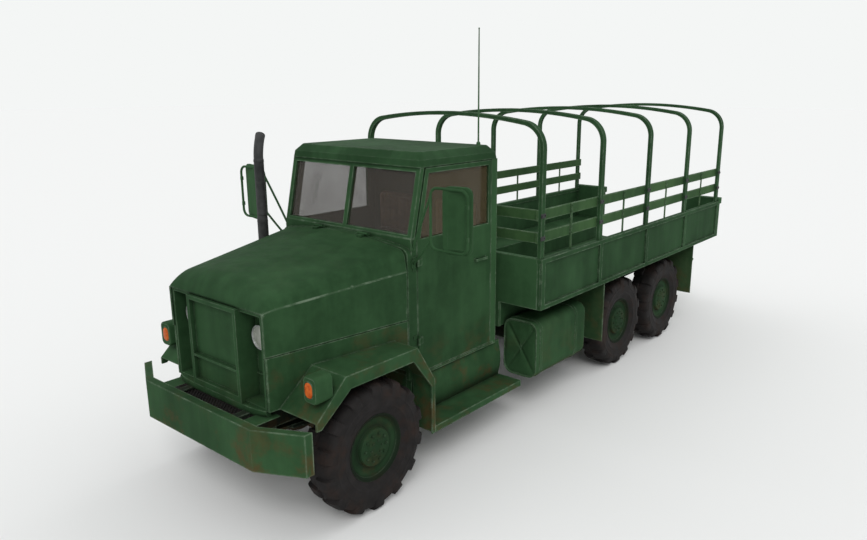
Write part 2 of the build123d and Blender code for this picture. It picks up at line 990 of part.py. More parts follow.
def nose_slab(inset, bottom, rear):
    """Everything behind the nose's rounded profile."""
    front = grille_front - hood_overhang + inset
    nose = front + hood_nose_length
    rise = (hood_rear_top - hood_front_top) * hood_nose_length / (hood_rear - grille_front)
    high = hood_front_top + rise + 1 - inset
    low = hood_front_crease
    chord = math.hypot(hood_nose_length, high - low)
    middle_y = (front + nose) / 2 - hood_nose_bulge * (high - low) / chord
    middle_z = (low + high) / 2 + hood_nose_bulge * hood_nose_length / chord
    edge = (
        Line((front, bottom), (front, low))
        + ThreePointArc((front, low), (middle_y, middle_z), (nose, high))
        + Line((nose, high), (rear, high + far))
        + Line((rear, high + far), (rear, bottom))
        + Line((rear, bottom), (front, bottom))
    )
    return Pos(-far / 2, 0, 0) * extrude(Plane.YZ * make_face(edge), far)


def hood():
    front = grille_front - hood_overhang
    outer = hood_body(0, hood_side_bottom, front, hood_rear) & nose_slab(0, hood_side_bottom, hood_rear)
    low = hood_side_bottom - cut_margin
    inner_body = hood_body(hood_wall, low, front - cut_margin, hood_rear + cut_margin)
    inner = inner_body & nose_slab(hood_wall, low, hood_rear + cut_margin)
    mouth = inner_body & block((-far, far), (front - far, 0), (0, hood_front_crease - hood_wall))
    return outer - inner - mouth


hood_hinge_y = hood_rear + panel_gap / 2
hood_hinge_z = hood_rear_top + hood_hinge_rise


def hood_hinge(low_x, high_x, side, shift):
    """A hinge knuckle over the hood's rear edge with its leaf; side is -1 on the hood, 1 on the cowl."""
    barrel = cross_rod(low_x, high_x, hood_hinge_y, hood_hinge_z, hood_hinge_radius)
    ends = sorted((hood_hinge_y, hood_hinge_y + side * hood_hinge_leaf))
    foot = hood_hinge_z - hood_hinge_radius
    return barrel + block((low_x, high_x), ends, (foot - shift, foot + hood_hinge_radius / 2))


def hood_with_hinges():
    whole = hood()
    for x in (-hood_hinge_x, hood_hinge_x):
        low_x = x - hood_hinge_length / 2
        high_x = x + hood_hinge_length / 2
        knuckle = hood_hinge(low_x, high_x, -1, hood_wall)
        knuckle -= block((low_x, high_x), (hood_rear, far), (0, hood_hinge_z - hood_hinge_radius))
        bore_radius = hood_hinge_pin + kingpin_clearance
        bore = cross_rod(low_x - 1, high_x + 1, hood_hinge_y, hood_hinge_z, bore_radius)
        whole = whole + knuckle - bore
    return whole


save("hood", hood_with_hinges())


# Front fenders: flat top, sloped front face, deep flange and rear skirt

def fender():
    lip_top = [
        (fender_front, fender_front_bottom + fender_face_height),
        (fender_crease, fender_top),
        (fender_rear_top, fender_top),
        (fender_skirt, fender_skirt_top + fender_face_height),
        (fender_skirt, fender_skirt_bottom),
    ]
    inner = [
        (fender_skirt - fender_wall, fender_skirt_bottom),
        (fender_skirt - fender_wall, fender_skirt_top + fender_face_height - fender_corner_inset),
        (fender_rear_top - fender_corner_inset, fender_top - fender_wall),
        (fender_crease + fender_corner_inset, fender_top - fender_wall),
        (fender_front + fender_face_inset, fender_front_bottom + fender_face_foot),
    ]
    inboard = hood_front_half + 2
    skin = side_profile(lip_top + inner, inboard, fender_outer)
    flange_points = [
        (fender_front, fender_front_bottom + fender_face_height),
        (fender_crease, fender_top),
        (fender_rear_top, fender_top),
        (fender_skirt, fender_skirt_top + fender_face_height),
        (fender_skirt, fender_skirt_bottom),
        (fender_skirt - fender_skirt_lip, fender_skirt_bottom),
        (fender_skirt - fender_skirt_lip, fender_skirt_top),
        (fender_rear_top - fender_flange_turn, fender_top - fender_flange),
        (fender_crease + fender_flange_turn, fender_top - fender_flange),
        (fender_front + fender_front_lip, fender_front_bottom),
        (fender_front, fender_front_bottom),
    ]
    flange = side_profile(flange_points, fender_outer - fender_wall, fender_outer)
    return skin + flange


def bay_side():
    """The fixed panel under the hood's side, on the same taper, open above the wheel."""
    high = hood_side_bottom - panel_gap
    strip = Polyline(
        (hood_front_half - hood_wall, grille_front),
        (hood_front_half, grille_front),
        (hood_rear_half, hood_rear),
        (hood_rear_half - hood_wall, hood_rear),
        close=True,
    )
    outline = side_profile(
        [
            (grille_front, grille_bottom),
            (bay_foot, grille_bottom),
            (fender_crease, bay_wheel_z),
            (hood_rear, bay_wheel_z),
            (hood_rear, high),
            (grille_front, high),
        ],
        0,
        far,
    )
    return Pos(0, 0, grille_bottom) * extrude(make_face(strip), high - grille_bottom) & outline


def fender_cut():
    """Everything inboard of the tapered bay side and of the cab."""
    return extrude(
        make_face(
            Polyline(
                (0, -far),
                (hood_front_half - hood_wall, -far),
                (hood_front_half - hood_wall, grille_front),
                (hood_rear_half - hood_wall, hood_rear),
                (hood_rear_half, hood_rear),
                (hood_rear_half, far),
                (0, far),
                close=True,
            )
        ),
        hood_side_bottom - panel_gap,
    )


front_fender = (fender() - fender_cut()) + bay_side()
save("front_fenders", front_fender, other_side(front_fender))


def turn_lamp():
    front = Plane(origin=(turn_lamp_x, turn_lamp_front, turn_lamp_z), x_dir=(1, 0, 0), z_dir=(0, -1, 0))
    can_face = front * RectangleRounded(2 * turn_lamp_half, turn_lamp_height, turn_lamp_corner)
    can = extrude(can_face, -turn_lamp_depth)
    under = side_profile(
        [
            (fender_front, fender_front_bottom + fender_face_height),
            (fender_crease, fender_top),
            (far, fender_top),
            (far, 0),
            (fender_front, 0),
        ],
        0,
        far,
    )
    lens_face = front * Pos(-turn_lens_shift, 0, 0) * RectangleRounded(
        2 * turn_lens_half, turn_lens_height, turn_lens_half - 1
    )
    return (can - under) + extrude(lens_face, turn_lens_proud)


save("turn_lamps", turn_lamp(), other_side(turn_lamp()))


# Cab floor with sills and seat boxes

def screen_front(z):
    return screen_base_y + screen_slope * (z - cowl_top)


def cab_floor():
    low = rail_top
    high = rail_top + cab_floor_thickness
    inner = cab_half_width - cab_wall
    floor = block((-inner, inner), (door_front, cab_rear - cab_wall), (low, high))
    for side in (1, -1):
        sill = block(
            (inner - cab_wall / 2, cab_half_width),
            (door_front, cab_rear - cab_wall),
            (cab_side_bottom, door_bottom - panel_gap),
        )
        sill += block((inner - cab_wall / 2, inner), (door_front, cab_rear - cab_wall), (cab_side_bottom, high))
        seat_box = block(
            (seat_x - seat_width / 2 + seat_box_inset, seat_x + seat_width / 2 - seat_box_inset),
            (cab_rear - cab_wall - seat_cushion_depth - seat_box_overhang, cab_rear - cab_wall),
            (high, seat_top - seat_cushion_height),
        )
        floor += sill if side > 0 else other_side(sill)
        floor += seat_box if side > 0 else other_side(seat_box)
    return floor


def door_outline(grow):
    return [
        (door_front - grow, door_bottom - grow),
        (door_rear + grow, door_bottom - grow),
        (door_rear + grow, door_top + grow),
        (door_slant_top - grow, door_top + grow),
        (door_front - grow, door_slant_start + grow),
    ]


save("cab_floor", cab_floor())


def cab_back():
    low = cab_side_bottom
    high = roof_gutter
    wall = block((-cab_half_width, cab_half_width), (cab_rear - cab_wall, cab_rear), (low, high))
    for side in (1, -1):
        post = block(
            (cab_half_width - cab_wall, cab_half_width),
            (door_rear + panel_gap, cab_rear - cab_wall),
            (door_bottom - panel_gap, high),
        )
        wall += post if side > 0 else other_side(post)
    slot_half = rail_outer + cab_rail_gap
    wall -= block((-slot_half, slot_half), (0, far), (low - 1, rail_top))
    return wall


save("cab_back", cab_back())


def cab_cowl():
    inner = cab_half_width - cab_wall
    shoulder = cowl_top - cowl_shoulder_drop
    section = hood_section(hood_rear_half, hood_rear_top, hood_rear_round, rail_top, 0)
    firewall = Plane(origin=(0, cab_front, 0), x_dir=(1, 0, 0), z_dir=(0, -1, 0)) * section
    cowl = extrude(firewall, -firewall_thickness)
    skin_plane = Plane(origin=(0, cab_front, 0), x_dir=(1, 0, 0), z_dir=(0, -1, 0))
    collar = extrude(skin_plane * section, -(screen_base_y + screen_depth - cab_front))
    inner_section = hood_section(
        hood_rear_half, hood_rear_top, hood_rear_round, rail_top - cut_margin, cab_wall
    )
    hollow = extrude(skin_plane * inner_section, -(screen_base_y + screen_depth - cab_front + cut_margin))
    cowl += collar - hollow
    for side in (1, -1):
        x_range = (inner, cab_half_width)
        rear = door_front - panel_gap
        panel = block(x_range, (cab_front, rear), (cab_side_bottom, shoulder))
        upper = block(x_range, (cab_front + cowl_shoulder_setback, rear), (shoulder, cowl_top))
        cowl += panel if side > 0 else other_side(panel)
        cowl += upper if side > 0 else other_side(upper)
    cowl += block((-inner, inner), (screen_base_y, screen_base_y + screen_depth), (dash_bottom, cowl_top))
    dash = block((-inner, inner), (screen_base_y + screen_depth, dash_rear), (dash_bottom, dash_top))
    toe = block(
        (-inner, inner),
        (cab_front + firewall_thickness, door_front),
        (rail_top, rail_top + cab_floor_thickness),
    )
    return cowl + dash + toe


cowl = cab_cowl()
save("cab_cowl", cowl)


def hood_hinge_pin_set(x):
    """The cowl's half of a hood hinge: two end knuckles and the pin through the hood's knuckle."""
    near = x - hood_hinge_length / 2 - hood_hinge_gap
    far_end = x + hood_hinge_length / 2 + hood_hinge_gap
    half_length = hood_hinge_length / 2
    whole = hood_hinge(near - half_length, near, 1, hood_wall)
    whole += hood_hinge(far_end, far_end + half_length, 1, hood_wall)
    whole += cross_rod(near - 1, far_end + 1, hood_hinge_y, hood_hinge_z, hood_hinge_pin)
    whole -= block((x - far, x + far), (0, cab_front), (0, hood_hinge_z - hood_hinge_radius))
    return whole - cowl


save("hood_hinges", hood_hinge_pin_set(hood_hinge_x), hood_hinge_pin_set(-hood_hinge_x))


# Windscreen: a sloped two-pane frame with a centre post

def screen_slab(low, high, half, front_offset, depth):
    return side_profile(
        [
            (screen_front(low) + front_offset, low),
            (screen_front(low) + front_offset + depth, low),
            (screen_front(high) + front_offset + depth, high),
            (screen_front(high) + front_offset, high),
        ],
        -half,
        half,
    )


def pane(side):
    slab = screen_slab(screen_sill, screen_head, far, (screen_depth - glass_thickness) / 2, glass_thickness)
    window = block((screen_post, screen_side), (0, far), (0, far))
    return slab & (window if side > 0 else other_side(window))


screen = screen_slab(cowl_top, roof_gutter, cab_half_width, 0, screen_depth)
screen_hole = screen_slab(screen_sill, screen_head, far, -cut_margin, screen_depth + 2 * cut_margin)
screen -= screen_hole & block((screen_post, screen_side), (0, far), (0, far))
screen -= screen_hole & block((-screen_side, -screen_post), (0, far), (0, far))
save("windscreen_frame", screen)
save("windscreen_glass", pane(1), pane(-1))


# Roof: a shallow pressed cap, hollow inside

def cab_roof():
    half = cab_half_width + roof_overhang
    front = screen_front(roof_gutter) - roof_overhang * 3
    rear = cab_rear + roof_overhang
    length = rear - front
    middle = (front + rear) / 2
    foot = Pos(0, middle, roof_gutter) * RectangleRounded(2 * half, length, roof_foot_round)
    brow = Pos(0, middle, roof_gutter + roof_brow_rise) * RectangleRounded(
        2 * half - 2 * roof_brow_inset, length - 2 * roof_brow_inset, roof_brow_round
    )
    crown = Pos(0, middle, roof_top) * RectangleRounded(
        2 * half - 2 * roof_inset, length - 2 * roof_inset, roof_crown_round
    )
    cap = loft([foot, brow], ruled=True) + loft([brow, crown], ruled=True)
    hollow = block(
        (-cab_half_width + cab_wall, cab_half_width - cab_wall),
        (screen_front(roof_gutter) + screen_depth, cab_rear - cab_wall),
        (roof_gutter - 1, roof_top - roof_wall - roof_lining),
    )
    return cap - hollow


save("cab_roof", cab_roof())


# Doors

def door():
    panel = side_profile(door_outline(0), cab_half_width - cab_wall, cab_half_width)
    window = side_profile(
        [
            (window_front, window_bottom),
            (window_rear, window_bottom),
            (window_rear, window_top),
            (window_front_top, window_top),
        ],
        0,
        far,
    )
    panel -= window
    grip = block(
        (cab_half_width, cab_half_width + handle_proud),
        (handle_start, handle_end),
        (handle_z - handle_half_height, handle_z + handle_half_height),
    )
    grip -= block(
        (cab_half_width, cab_half_width + handle_proud - handle_bar),
        (handle_start + handle_foot, handle_end - handle_foot),
        (handle_z - 2 * handle_half_height, handle_z + 2 * handle_half_height),
    )
    panel += grip
    for z in hinge_heights:
        panel += hinge_barrel(z, z + hinge_length, 1) - hinge_pin_space(z)
    return panel


hinge_x = cab_half_width + hinge_radius
hinge_y = door_front - panel_gap / 2


def hinge_barrel(low, high, side):
    """One knuckle of a door hinge with its leaf; side is 1 on the door and -1 on the cowl."""
    barrel = Pos(hinge_x, hinge_y, (low + high) / 2) * Cylinder(hinge_radius, high - low)
    y_range = (hinge_y, hinge_y + hinge_leaf_length) if side > 0 else (hinge_y - hinge_leaf_length, hinge_y)
    leaf = block((cab_half_width, cab_half_width + hinge_leaf), y_range, (low, high))
    return barrel + leaf


def hinge_pin_space(z):
    return Pos(hinge_x, hinge_y, z + hinge_length / 2) * Cylinder(hinge_pin_radius + kingpin_clearance, hinge_length + 2)


def door_glass():
    return side_profile(
        [
            (window_front, window_bottom),
            (window_rear, window_bottom),
            (window_rear, window_top),
            (window_front_top, window_top),
        ],
        cab_half_width - cab_wall / 2 - glass_thickness / 2,
        cab_half_width - cab_wall / 2 + glass_thickness / 2,
    )


save("door_left", door())
save("door_right", other_side(door()))
save("door_glass_left", door_glass())
save("door_glass_right", other_side(door_glass()))


def door_hinge_pins():
    """The cowl's half of the door hinges: two end knuckles and the pin."""
    pins = []
    for z in hinge_heights:
        low = z - hinge_gap
        high = z + hinge_length + hinge_gap
        lower = hinge_barrel(low - hinge_end_length, low, -1)
        upper = hinge_barrel(high, high + hinge_end_length, -1)
        pin_length = high - low + 2 * hinge_end_length
        pin = Pos(hinge_x, hinge_y, z + hinge_length / 2) * Cylinder(hinge_pin_radius, pin_length)
        pins.append(lower + upper + pin)
    return pins


left_pins = door_hinge_pins()
save("door_hinges", *left_pins, *[other_side(pin) for pin in left_pins])


# Seats, plain closed solids

def seat_cushion():
    rear = cab_rear - cab_wall - seat_back_thickness - seat_gap
    cushion = block(
        (seat_x - seat_width / 2, seat_x + seat_width / 2),
        (rear - seat_cushion_depth, rear),
        (seat_top - seat_cushion_height, seat_top),
    )
    return fillet(cushion.edges(), seat_cushion_round)


def seat_back():
    rear = cab_rear - cab_wall
    back = block(
        (seat_x - seat_width / 2, seat_x + seat_width / 2),
        (rear - seat_back_thickness, rear),
        (seat_top - seat_cushion_height, seat_back_top),
    )
    back = fillet(back.edges().filter_by(Axis.Y).group_by(Axis.Z)[-1], seat_back_round)
    return back


save("seat_cushions", seat_cushion(), other_side(seat_cushion()))
save("seat_backs", seat_back(), other_side(seat_back()))


# Steering wheel and its column

wheel_frame = Plane(
    origin=(steering_wheel_x, steering_wheel_y, steering_wheel_z),
    x_dir=(1, 0, 0),
    z_dir=(0, math.sin(math.radians(steering_wheel_tilt)), math.cos(math.radians(steering_wheel_tilt))),
)


def steering_wheel():
    rim = Torus(steering_wheel_radius - steering_wheel_rim, steering_wheel_rim)
    spokes = Pos(0, 0, -steering_hub_drop) * Cylinder(steering_hub_radius, steering_hub_height)
    reach = steering_wheel_radius - steering_wheel_rim
    for index in range(steering_spoke_count):
        spoke = Pos(reach / 2, 0, -steering_spoke_drop) * Box(
            reach, steering_spoke_width, steering_spoke_thickness
        )
        spokes += Rot(0, 0, 90 + 360 / steering_spoke_count * index) * spoke
    bore = Pos(0, 0, -steering_hub_drop - steering_hub_height / 2) * Cylinder(
        column_shaft_radius + kingpin_clearance, steering_hub_bore
    )
    return wheel_frame * (rim + spokes - bore)


def steering_column():
    top = -steering_hub_drop - steering_hub_height / 2 - column_gap
    column = Pos(0, 0, top) * Cylinder(
        column_radius, far, align=(Align.CENTER, Align.CENTER, Align.MAX)
    )
    column += Pos(0, 0, -steering_hub_drop) * Cylinder(
        column_shaft_radius, far, align=(Align.CENTER, Align.CENTER, Align.MAX)
    )
    placed = wheel_frame * column
    keep = block((-far, far), (screen_base_y + screen_depth, far), (0, far))
    dash = block((-far, far), (0, dash_rear), (dash_bottom, far))
    placed = (placed & keep) - dash
    solids = sorted(placed.solids(), key=lambda solid: solid.center().Z)
    return solids[-1]


save("steering_wheel", steering_wheel())
save("steering_column", steering_column())


# Mirrors: a rounded plate in a tube loop on two arms

def mirror_assembly():
    plate = Pos(mirror_x, mirror_y, mirror_z) * Rot(90, 0, 0) * extrude(
        RectangleRounded(mirror_width, mirror_height, mirror_corner), mirror_thickness / 2, both=True
    )
    outer_x = mirror_x + loop_half_width
    loop_y = mirror_y - mirror_thickness / 2 - mirror_tube + loop_seat
    middle_x = (outer_x + loop_inner_x) / 2
    width = outer_x - loop_inner_x
    height = 2 * loop_half_height
    ring = RectangleRounded(width + 2 * mirror_tube, height + 2 * mirror_tube, loop_corner + mirror_tube)
    ring -= RectangleRounded(width - 2 * mirror_tube, height - 2 * mirror_tube, loop_corner - mirror_tube)
    loop = Pos(middle_x, loop_y, mirror_z) * Rot(90, 0, 0) * extrude(ring, mirror_tube, both=True)
    foot_x = cab_half_width + mirror_tube - 2
    for end, drop in ((1, mirror_arm_high_drop), (-1, mirror_arm_low_drop)):
        start = (loop_inner_x, loop_y, mirror_z + end * (loop_half_height - loop_corner))
        loop += long_rod(start, (foot_x, cab_front + mirror_arm_setback, cowl_top - drop), mirror_tube)
    body = plate + loop
    return body - block((0, cab_half_width), (0, far), (0, far))


save("mirrors", mirror_assembly(), other_side(mirror_assembly()))


# Exhaust stack on the right, with a tip turned outward

def exhaust():
    foot = (-stack_x, stack_y, stack_bottom)
    bend = (-stack_x, stack_y, stack_top - stack_bend)
    knee = (
        -stack_x - stack_knee_share * stack_tip_out,
        stack_y + stack_knee_share * stack_tip_back,
        stack_top - stack_knee_share * stack_bend,
    )
    tip = (-stack_x - stack_tip_out, stack_y + stack_tip_back, stack_top)
    section = Pos(*foot) * Circle(stack_radius)
    stack = sweep(section, path=Polyline(foot, bend, knee, tip), transition=Transition.RIGHT)
    guard_start = (-stack_x, stack_y, stack_guard_bottom)
    guard_end = (-stack_x, stack_y, stack_guard_top)
    stack += long_rod(guard_start, guard_end, stack_radius + stack_guard_wall)
    stack += block(
        (-stack_x - stack_radius, -stack_x + stack_radius),
        (stack_y - stack_radius, stack_y + stack_radius),
        (fender_top, stack_bottom),
    )
    return stack


save("exhaust_stack", exhaust())
antenna = Pos(antenna_x, antenna_y, roof_top) * Cylinder(
    antenna_radius, antenna_top - roof_top, align=(Align.CENTER, Align.CENTER, Align.MIN)
)
antenna += Pos(antenna_x, antenna_y, roof_top) * Cylinder(
    antenna_base_radius, antenna_base_height, align=(Align.CENTER, Align.CENTER, Align.MIN)
)
save("antenna", antenna)


# Steps below the doors, reached from the fender skirts

def side_step():
    x_range = (step_inner, fender_outer)
    y_range = (fender_skirt, step_rear)
    low = step_top - step_thickness
    board = block(x_range, y_range, (step_top - step_board, step_top))
    lip = block((fender_outer - step_wall, fender_outer), y_range, (low, step_top))
    rear_lip = block(x_range, (step_rear - step_wall, step_rear), (low, step_top))
    back = block((step_inner, step_inner + step_wall), y_range, (low, cab_side_bottom))
    return board + lip + rear_lip + back


save("side_steps", side_step(), other_side(side_step()))


# Fuel tanks: rounded boxes with a cross pressed in each end

def fuel_tank():
    middle_x = (tank_inner + tank_outer) / 2
    middle_z = (tank_bottom + tank_top) / 2
    width = tank_outer - tank_inner
    height = tank_top - tank_bottom
    face = RectangleRounded(width, height, tank_corner)
    upright = Plane(origin=(middle_x, tank_front, middle_z), x_dir=(1, 0, 0), z_dir=(0, -1, 0))
    body = extrude(upright * face, -tank_length)
    for end, y in ((-1, tank_front), (1, tank_front + tank_length)):
        for angle in (45, -45):
            arm = Box(tank_cross_share * width, 2 * tank_end_proud, tank_cross_width)
            body -= Pos(middle_x, y, middle_z) * Rot(0, angle, 0) * arm
    for y in (tank_front + tank_strap_front, tank_front + tank_strap_rear):
        strap = Plane(origin=(middle_x, y, middle_z), x_dir=(1, 0, 0), z_dir=(0, -1, 0)) * RectangleRounded(
            width + 2 * tank_strap_proud, height + 2 * tank_strap_proud, tank_corner + tank_strap_proud
        )
        body += extrude(strap, -tank_strap_width) & block((tank_inner, far), (0, far), (0, far))
        body += block(
            (middle_x - tank_foot_half, middle_x + tank_foot_half),
            (y, y + tank_strap_width),
            (tank_bottom - tank_foot_drop, tank_bottom),
        )
    return body


save("fuel_tanks", fuel_tank(), other_side(fuel_tank()))


# Cargo bed: low trough in the middle, raised shelf each side

def bed_floor():
    front = bed_front + bed_wall
    edge = trough_half + trough_wall
    inner = bed_panel_out - bed_wall
    floor = block((-edge, edge), (front, bed_rear), (bed_floor_bottom, trough_floor))
    for side in (1, -1):
        wall = block((trough_half, edge), (front, bed_rear), (trough_floor, shelf_top - trough_wall))
        shelf = block((trough_half, inner), (front, bed_rear), (shelf_top - trough_wall, shelf_top))
        floor += wall if side > 0 else other_side(wall)
        floor += shelf if side > 0 else other_side(shelf)
        lug = block(
            (trough_half, edge),
            (bed_rear, ramp_hinge_y + ramp_hinge_radius),
            (bed_floor_bottom, ramp_hinge_z + ramp_hinge_radius),
        )
        floor += lug if side > 0 else other_side(lug)
    return floor + cross_rod(-edge, edge, ramp_hinge_y, ramp_hinge_z, ramp_pin_radius)


save("bed_floor", bed_floor())

first_bow = bed_front + bow_width / 2 + bow_end_gap
last_bow = bed_rear - bow_width / 2 - bow_end_gap
bow_pitch = (last_bow - first_bow) / (bow_count - 1)
bow_places = [first_bow + index * bow_pitch for index in range(bow_count)]


def bed_side():
    inner = bed_panel_out - bed_wall
    rail_inner = bed_half_width - bed_rail_width
    length = (bed_front, bed_rear)
    side = block((inner, bed_panel_out), length, (bed_side_bottom, bed_top))
    side += block((rail_inner, bed_half_width), length, (bed_top - bed_top_rail, bed_top))
    side += block((inner, bed_half_width), length, (bed_side_bottom, bed_side_bottom + bed_bottom_rail))
    for y in bow_places:
        side += block(
            (bed_panel_out, bed_half_width), (y - rib_width / 2, y + rib_width / 2), (bed_side_bottom, bed_top)
        )
    return side


save("bed_sides", bed_side(), other_side(bed_side()))


def bed_front_wall():
    inner = bed_panel_out - bed_wall
    rail_inner = bed_half_width - bed_rail_width
    edge = trough_half + trough_wall
    rail_low = bed_top - bed_top_rail
    wall = block((-inner, inner), (bed_front, bed_front + bed_wall), (bed_side_bottom, rail_low))
    wall += block((-rail_inner, rail_inner), (bed_front, bed_front + bed_rail_width), (rail_low, bed_top))
    wall += block((-edge, edge), (bed_front, bed_front + bed_wall), (bed_floor_bottom, bed_side_bottom))
    return wall


save("bed_front_wall", bed_front_wall())


def bow(y):
    def arch(outer, eaves, crown, corner):
        edge = (
            Line((-outer, bed_top), (-outer, eaves))
            + ThreePointArc((-outer, eaves), (0, crown), (outer, eaves))
            + Line((outer, eaves), (outer, bed_top))
            + Line((outer, bed_top), (-outer, bed_top))
        )
        face = make_face(edge)
        corners = face.vertices().group_by(Axis.Y)[-1]
        return fillet(corners, corner)

    outer_face = arch(bow_outer, bow_eaves, bow_crown, bow_corner)
    inner_face = arch(
        bow_outer - bow_thickness,
        bow_eaves - bow_thickness,
        bow_crown - bow_thickness,
        bow_corner - bow_thickness,
    )
    upright = Plane(origin=(0, y + bow_width / 2, 0), x_dir=(1, 0, 0), z_dir=(0, -1, 0))
    return extrude(upright * (outer_face - inner_face), bow_width)


save("bed_bows", *[bow(y) for y in bow_places])


def side_rack():
    outer = bow_outer - bow_thickness
    first = bow_places[0] - bow_width / 2
    last = bow_places[-1] + bow_width / 2
    rack = None
    for low in slat_bottoms:
        slat = block((outer - slat_thickness, outer), (first, last), (low, low + slat_height))
        rack = slat if rack is None else rack + slat
    for start in bow_places[:-1]:
        y = start + bow_pitch / 2
        rack += block(
            (outer, outer + strap_thickness),
            (y - strap_width / 2, y + strap_width / 2),
            (bed_top, slat_bottoms[-1] + slat_height),
        )
    return rack


def front_rack():
    half = bow_outer - bow_thickness - slat_thickness
    y = bow_places[0] - slat_thickness / 2
    rack = None
    for low in slat_bottoms:
        slat = block((-half, half), (y, y + slat_thickness), (low, low + slat_height))
        rack = slat if rack is None else rack + slat
    for x in (-0.5 * half, 0, 0.5 * half):
        rack += block(
            (x - strap_width / 2, x + strap_width / 2),
            (y - strap_thickness, y),
            (bed_top, slat_bottoms[-1] + slat_height),
        )
    return rack


save("side_racks", side_rack(), other_side(side_rack()))
save("front_rack", front_rack())


# Fixed rear panels with rounded caps, and the tail lamps under them

def rear_panel():
    inner = trough_half
    panel = block(
        (inner, bed_half_width), (bed_rear, bed_rear + rear_panel_thickness), (bed_side_bottom, bed_top)
    )
    cap = block(
        (inner, bed_half_width + cap_overhang), (bed_rear, bed_rear + cap_depth), (cap_top - cap_height, cap_top)
    )
    cap = fillet(cap.edges().filter_by(Axis.Z), cap_round)
    return panel + cap


save("rear_panels", rear_panel(), other_side(rear_panel()))


def tail_lamp():
    low = bed_side_bottom - tail_lamp_height
    body = block(
        (tail_lamp_x - tail_lamp_width / 2, tail_lamp_x + tail_lamp_width / 2),
        (bed_rear - tail_lamp_depth + rear_panel_thickness, bed_rear + rear_panel_thickness),
        (low, bed_side_bottom),
    )
    lens = Cylinder(tail_lens_radius, tail_lens_proud, align=(Align.CENTER, Align.CENTER, Align.MIN))
    lens_place = Pos(tail_lamp_x, bed_rear + rear_panel_thickness, low + tail_lamp_height / 2)
    return body + lens_place * Rot(-90, 0, 0) * lens


save("tail_lamps", tail_lamp(), other_side(tail_lamp()))


# Loading ramp, hinged at the trough floor's rear edge

def ramp():
    half = trough_half - ramp_side_gap
    plate = block((-half, half), (0, ramp_length), (ramp_hinge_radius - ramp_thickness, ramp_hinge_radius))
    barrel = cross_rod(-half, half, 0, 0, ramp_hinge_radius)
    flap = plate + barrel - cross_rod(-half - 1, half + 1, 0, 0, ramp_pin_radius + kingpin_clearance)
    return Pos(0, ramp_hinge_y, ramp_hinge_z) * Rot(-ramp_angle, 0, 0) * flap


save("loading_ramp", ramp())


# Mud plates ahead of and behind the rear wheels, hung from the bed

def mud_plates():
    inner = mud_plate_inner
    outer = mud_plate_outer
    panel = bed_panel_out - bed_wall
    first = rear_axles[0] - wheel_radius - mud_plate_clearance
    last = rear_axles[1] + wheel_radius + mud_plate_clearance
    pieces = []
    for y in (first - mud_plate_thickness, last):
        y_range = (y, y + mud_plate_thickness)
        lower = block((inner, outer), y_range, (mud_plate_bottom, bed_side_bottom))
        pieces.append(lower + block((inner, panel), y_range, (bed_side_bottom, shelf_top - trough_wall)))
    return pieces


plates = mud_plates()
save("mud_plates", *plates, *[other_side(plate) for plate in plates])
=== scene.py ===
import json
import math
import bpy
import numpy as np
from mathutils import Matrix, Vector


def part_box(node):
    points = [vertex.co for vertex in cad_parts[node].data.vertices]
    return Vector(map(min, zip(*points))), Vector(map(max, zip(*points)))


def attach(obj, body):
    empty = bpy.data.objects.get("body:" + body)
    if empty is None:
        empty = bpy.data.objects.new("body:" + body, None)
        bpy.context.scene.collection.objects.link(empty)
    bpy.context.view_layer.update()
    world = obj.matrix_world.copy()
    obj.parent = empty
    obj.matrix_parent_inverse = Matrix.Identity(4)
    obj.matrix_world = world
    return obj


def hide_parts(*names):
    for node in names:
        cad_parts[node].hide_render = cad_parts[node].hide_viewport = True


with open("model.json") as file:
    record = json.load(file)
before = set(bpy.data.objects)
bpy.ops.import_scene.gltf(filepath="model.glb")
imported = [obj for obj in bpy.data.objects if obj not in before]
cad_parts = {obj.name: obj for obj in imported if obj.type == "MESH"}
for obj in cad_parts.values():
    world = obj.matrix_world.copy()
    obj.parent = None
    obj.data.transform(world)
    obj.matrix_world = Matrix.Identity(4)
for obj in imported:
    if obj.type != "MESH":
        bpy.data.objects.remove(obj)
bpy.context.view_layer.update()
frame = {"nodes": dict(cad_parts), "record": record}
nodes = frame["nodes"]
scene = bpy.context.scene
scene.view_settings.view_transform = "Standard"
frontAxle = -3.3508547      # metres; every distance behind the front axle is measured from here
bothSides = (("left", 1), ("right", -1))
print("frame loaded:", len(nodes), "nodes")


# Camera

view = {
    "eye": (4.95, -7.081, 3.41),          # metres, the photograph's place beside the front left corner
    "forward": (-0.612, 0.752, -0.246),
    "lens": 30.0,                         # mm on a 36 mm sensor
    "shiftX": -0.028,
}


def placeCamera(values):
    data = bpy.data.cameras.new("camera")
    camera = bpy.data.objects.new("camera", data)
    scene.collection.objects.link(camera)
    camera.location = values["eye"]
    camera.rotation_euler = Vector(values["forward"]).to_track_quat("-Z", "Y").to_euler()
    data.lens = values["lens"]
    data.sensor_width = 36
    data.shift_x = values["shiftX"]
    data.clip_end = 200
    scene.camera = camera


placeCamera(view)


# Short calls for the nodes that the finishes use most

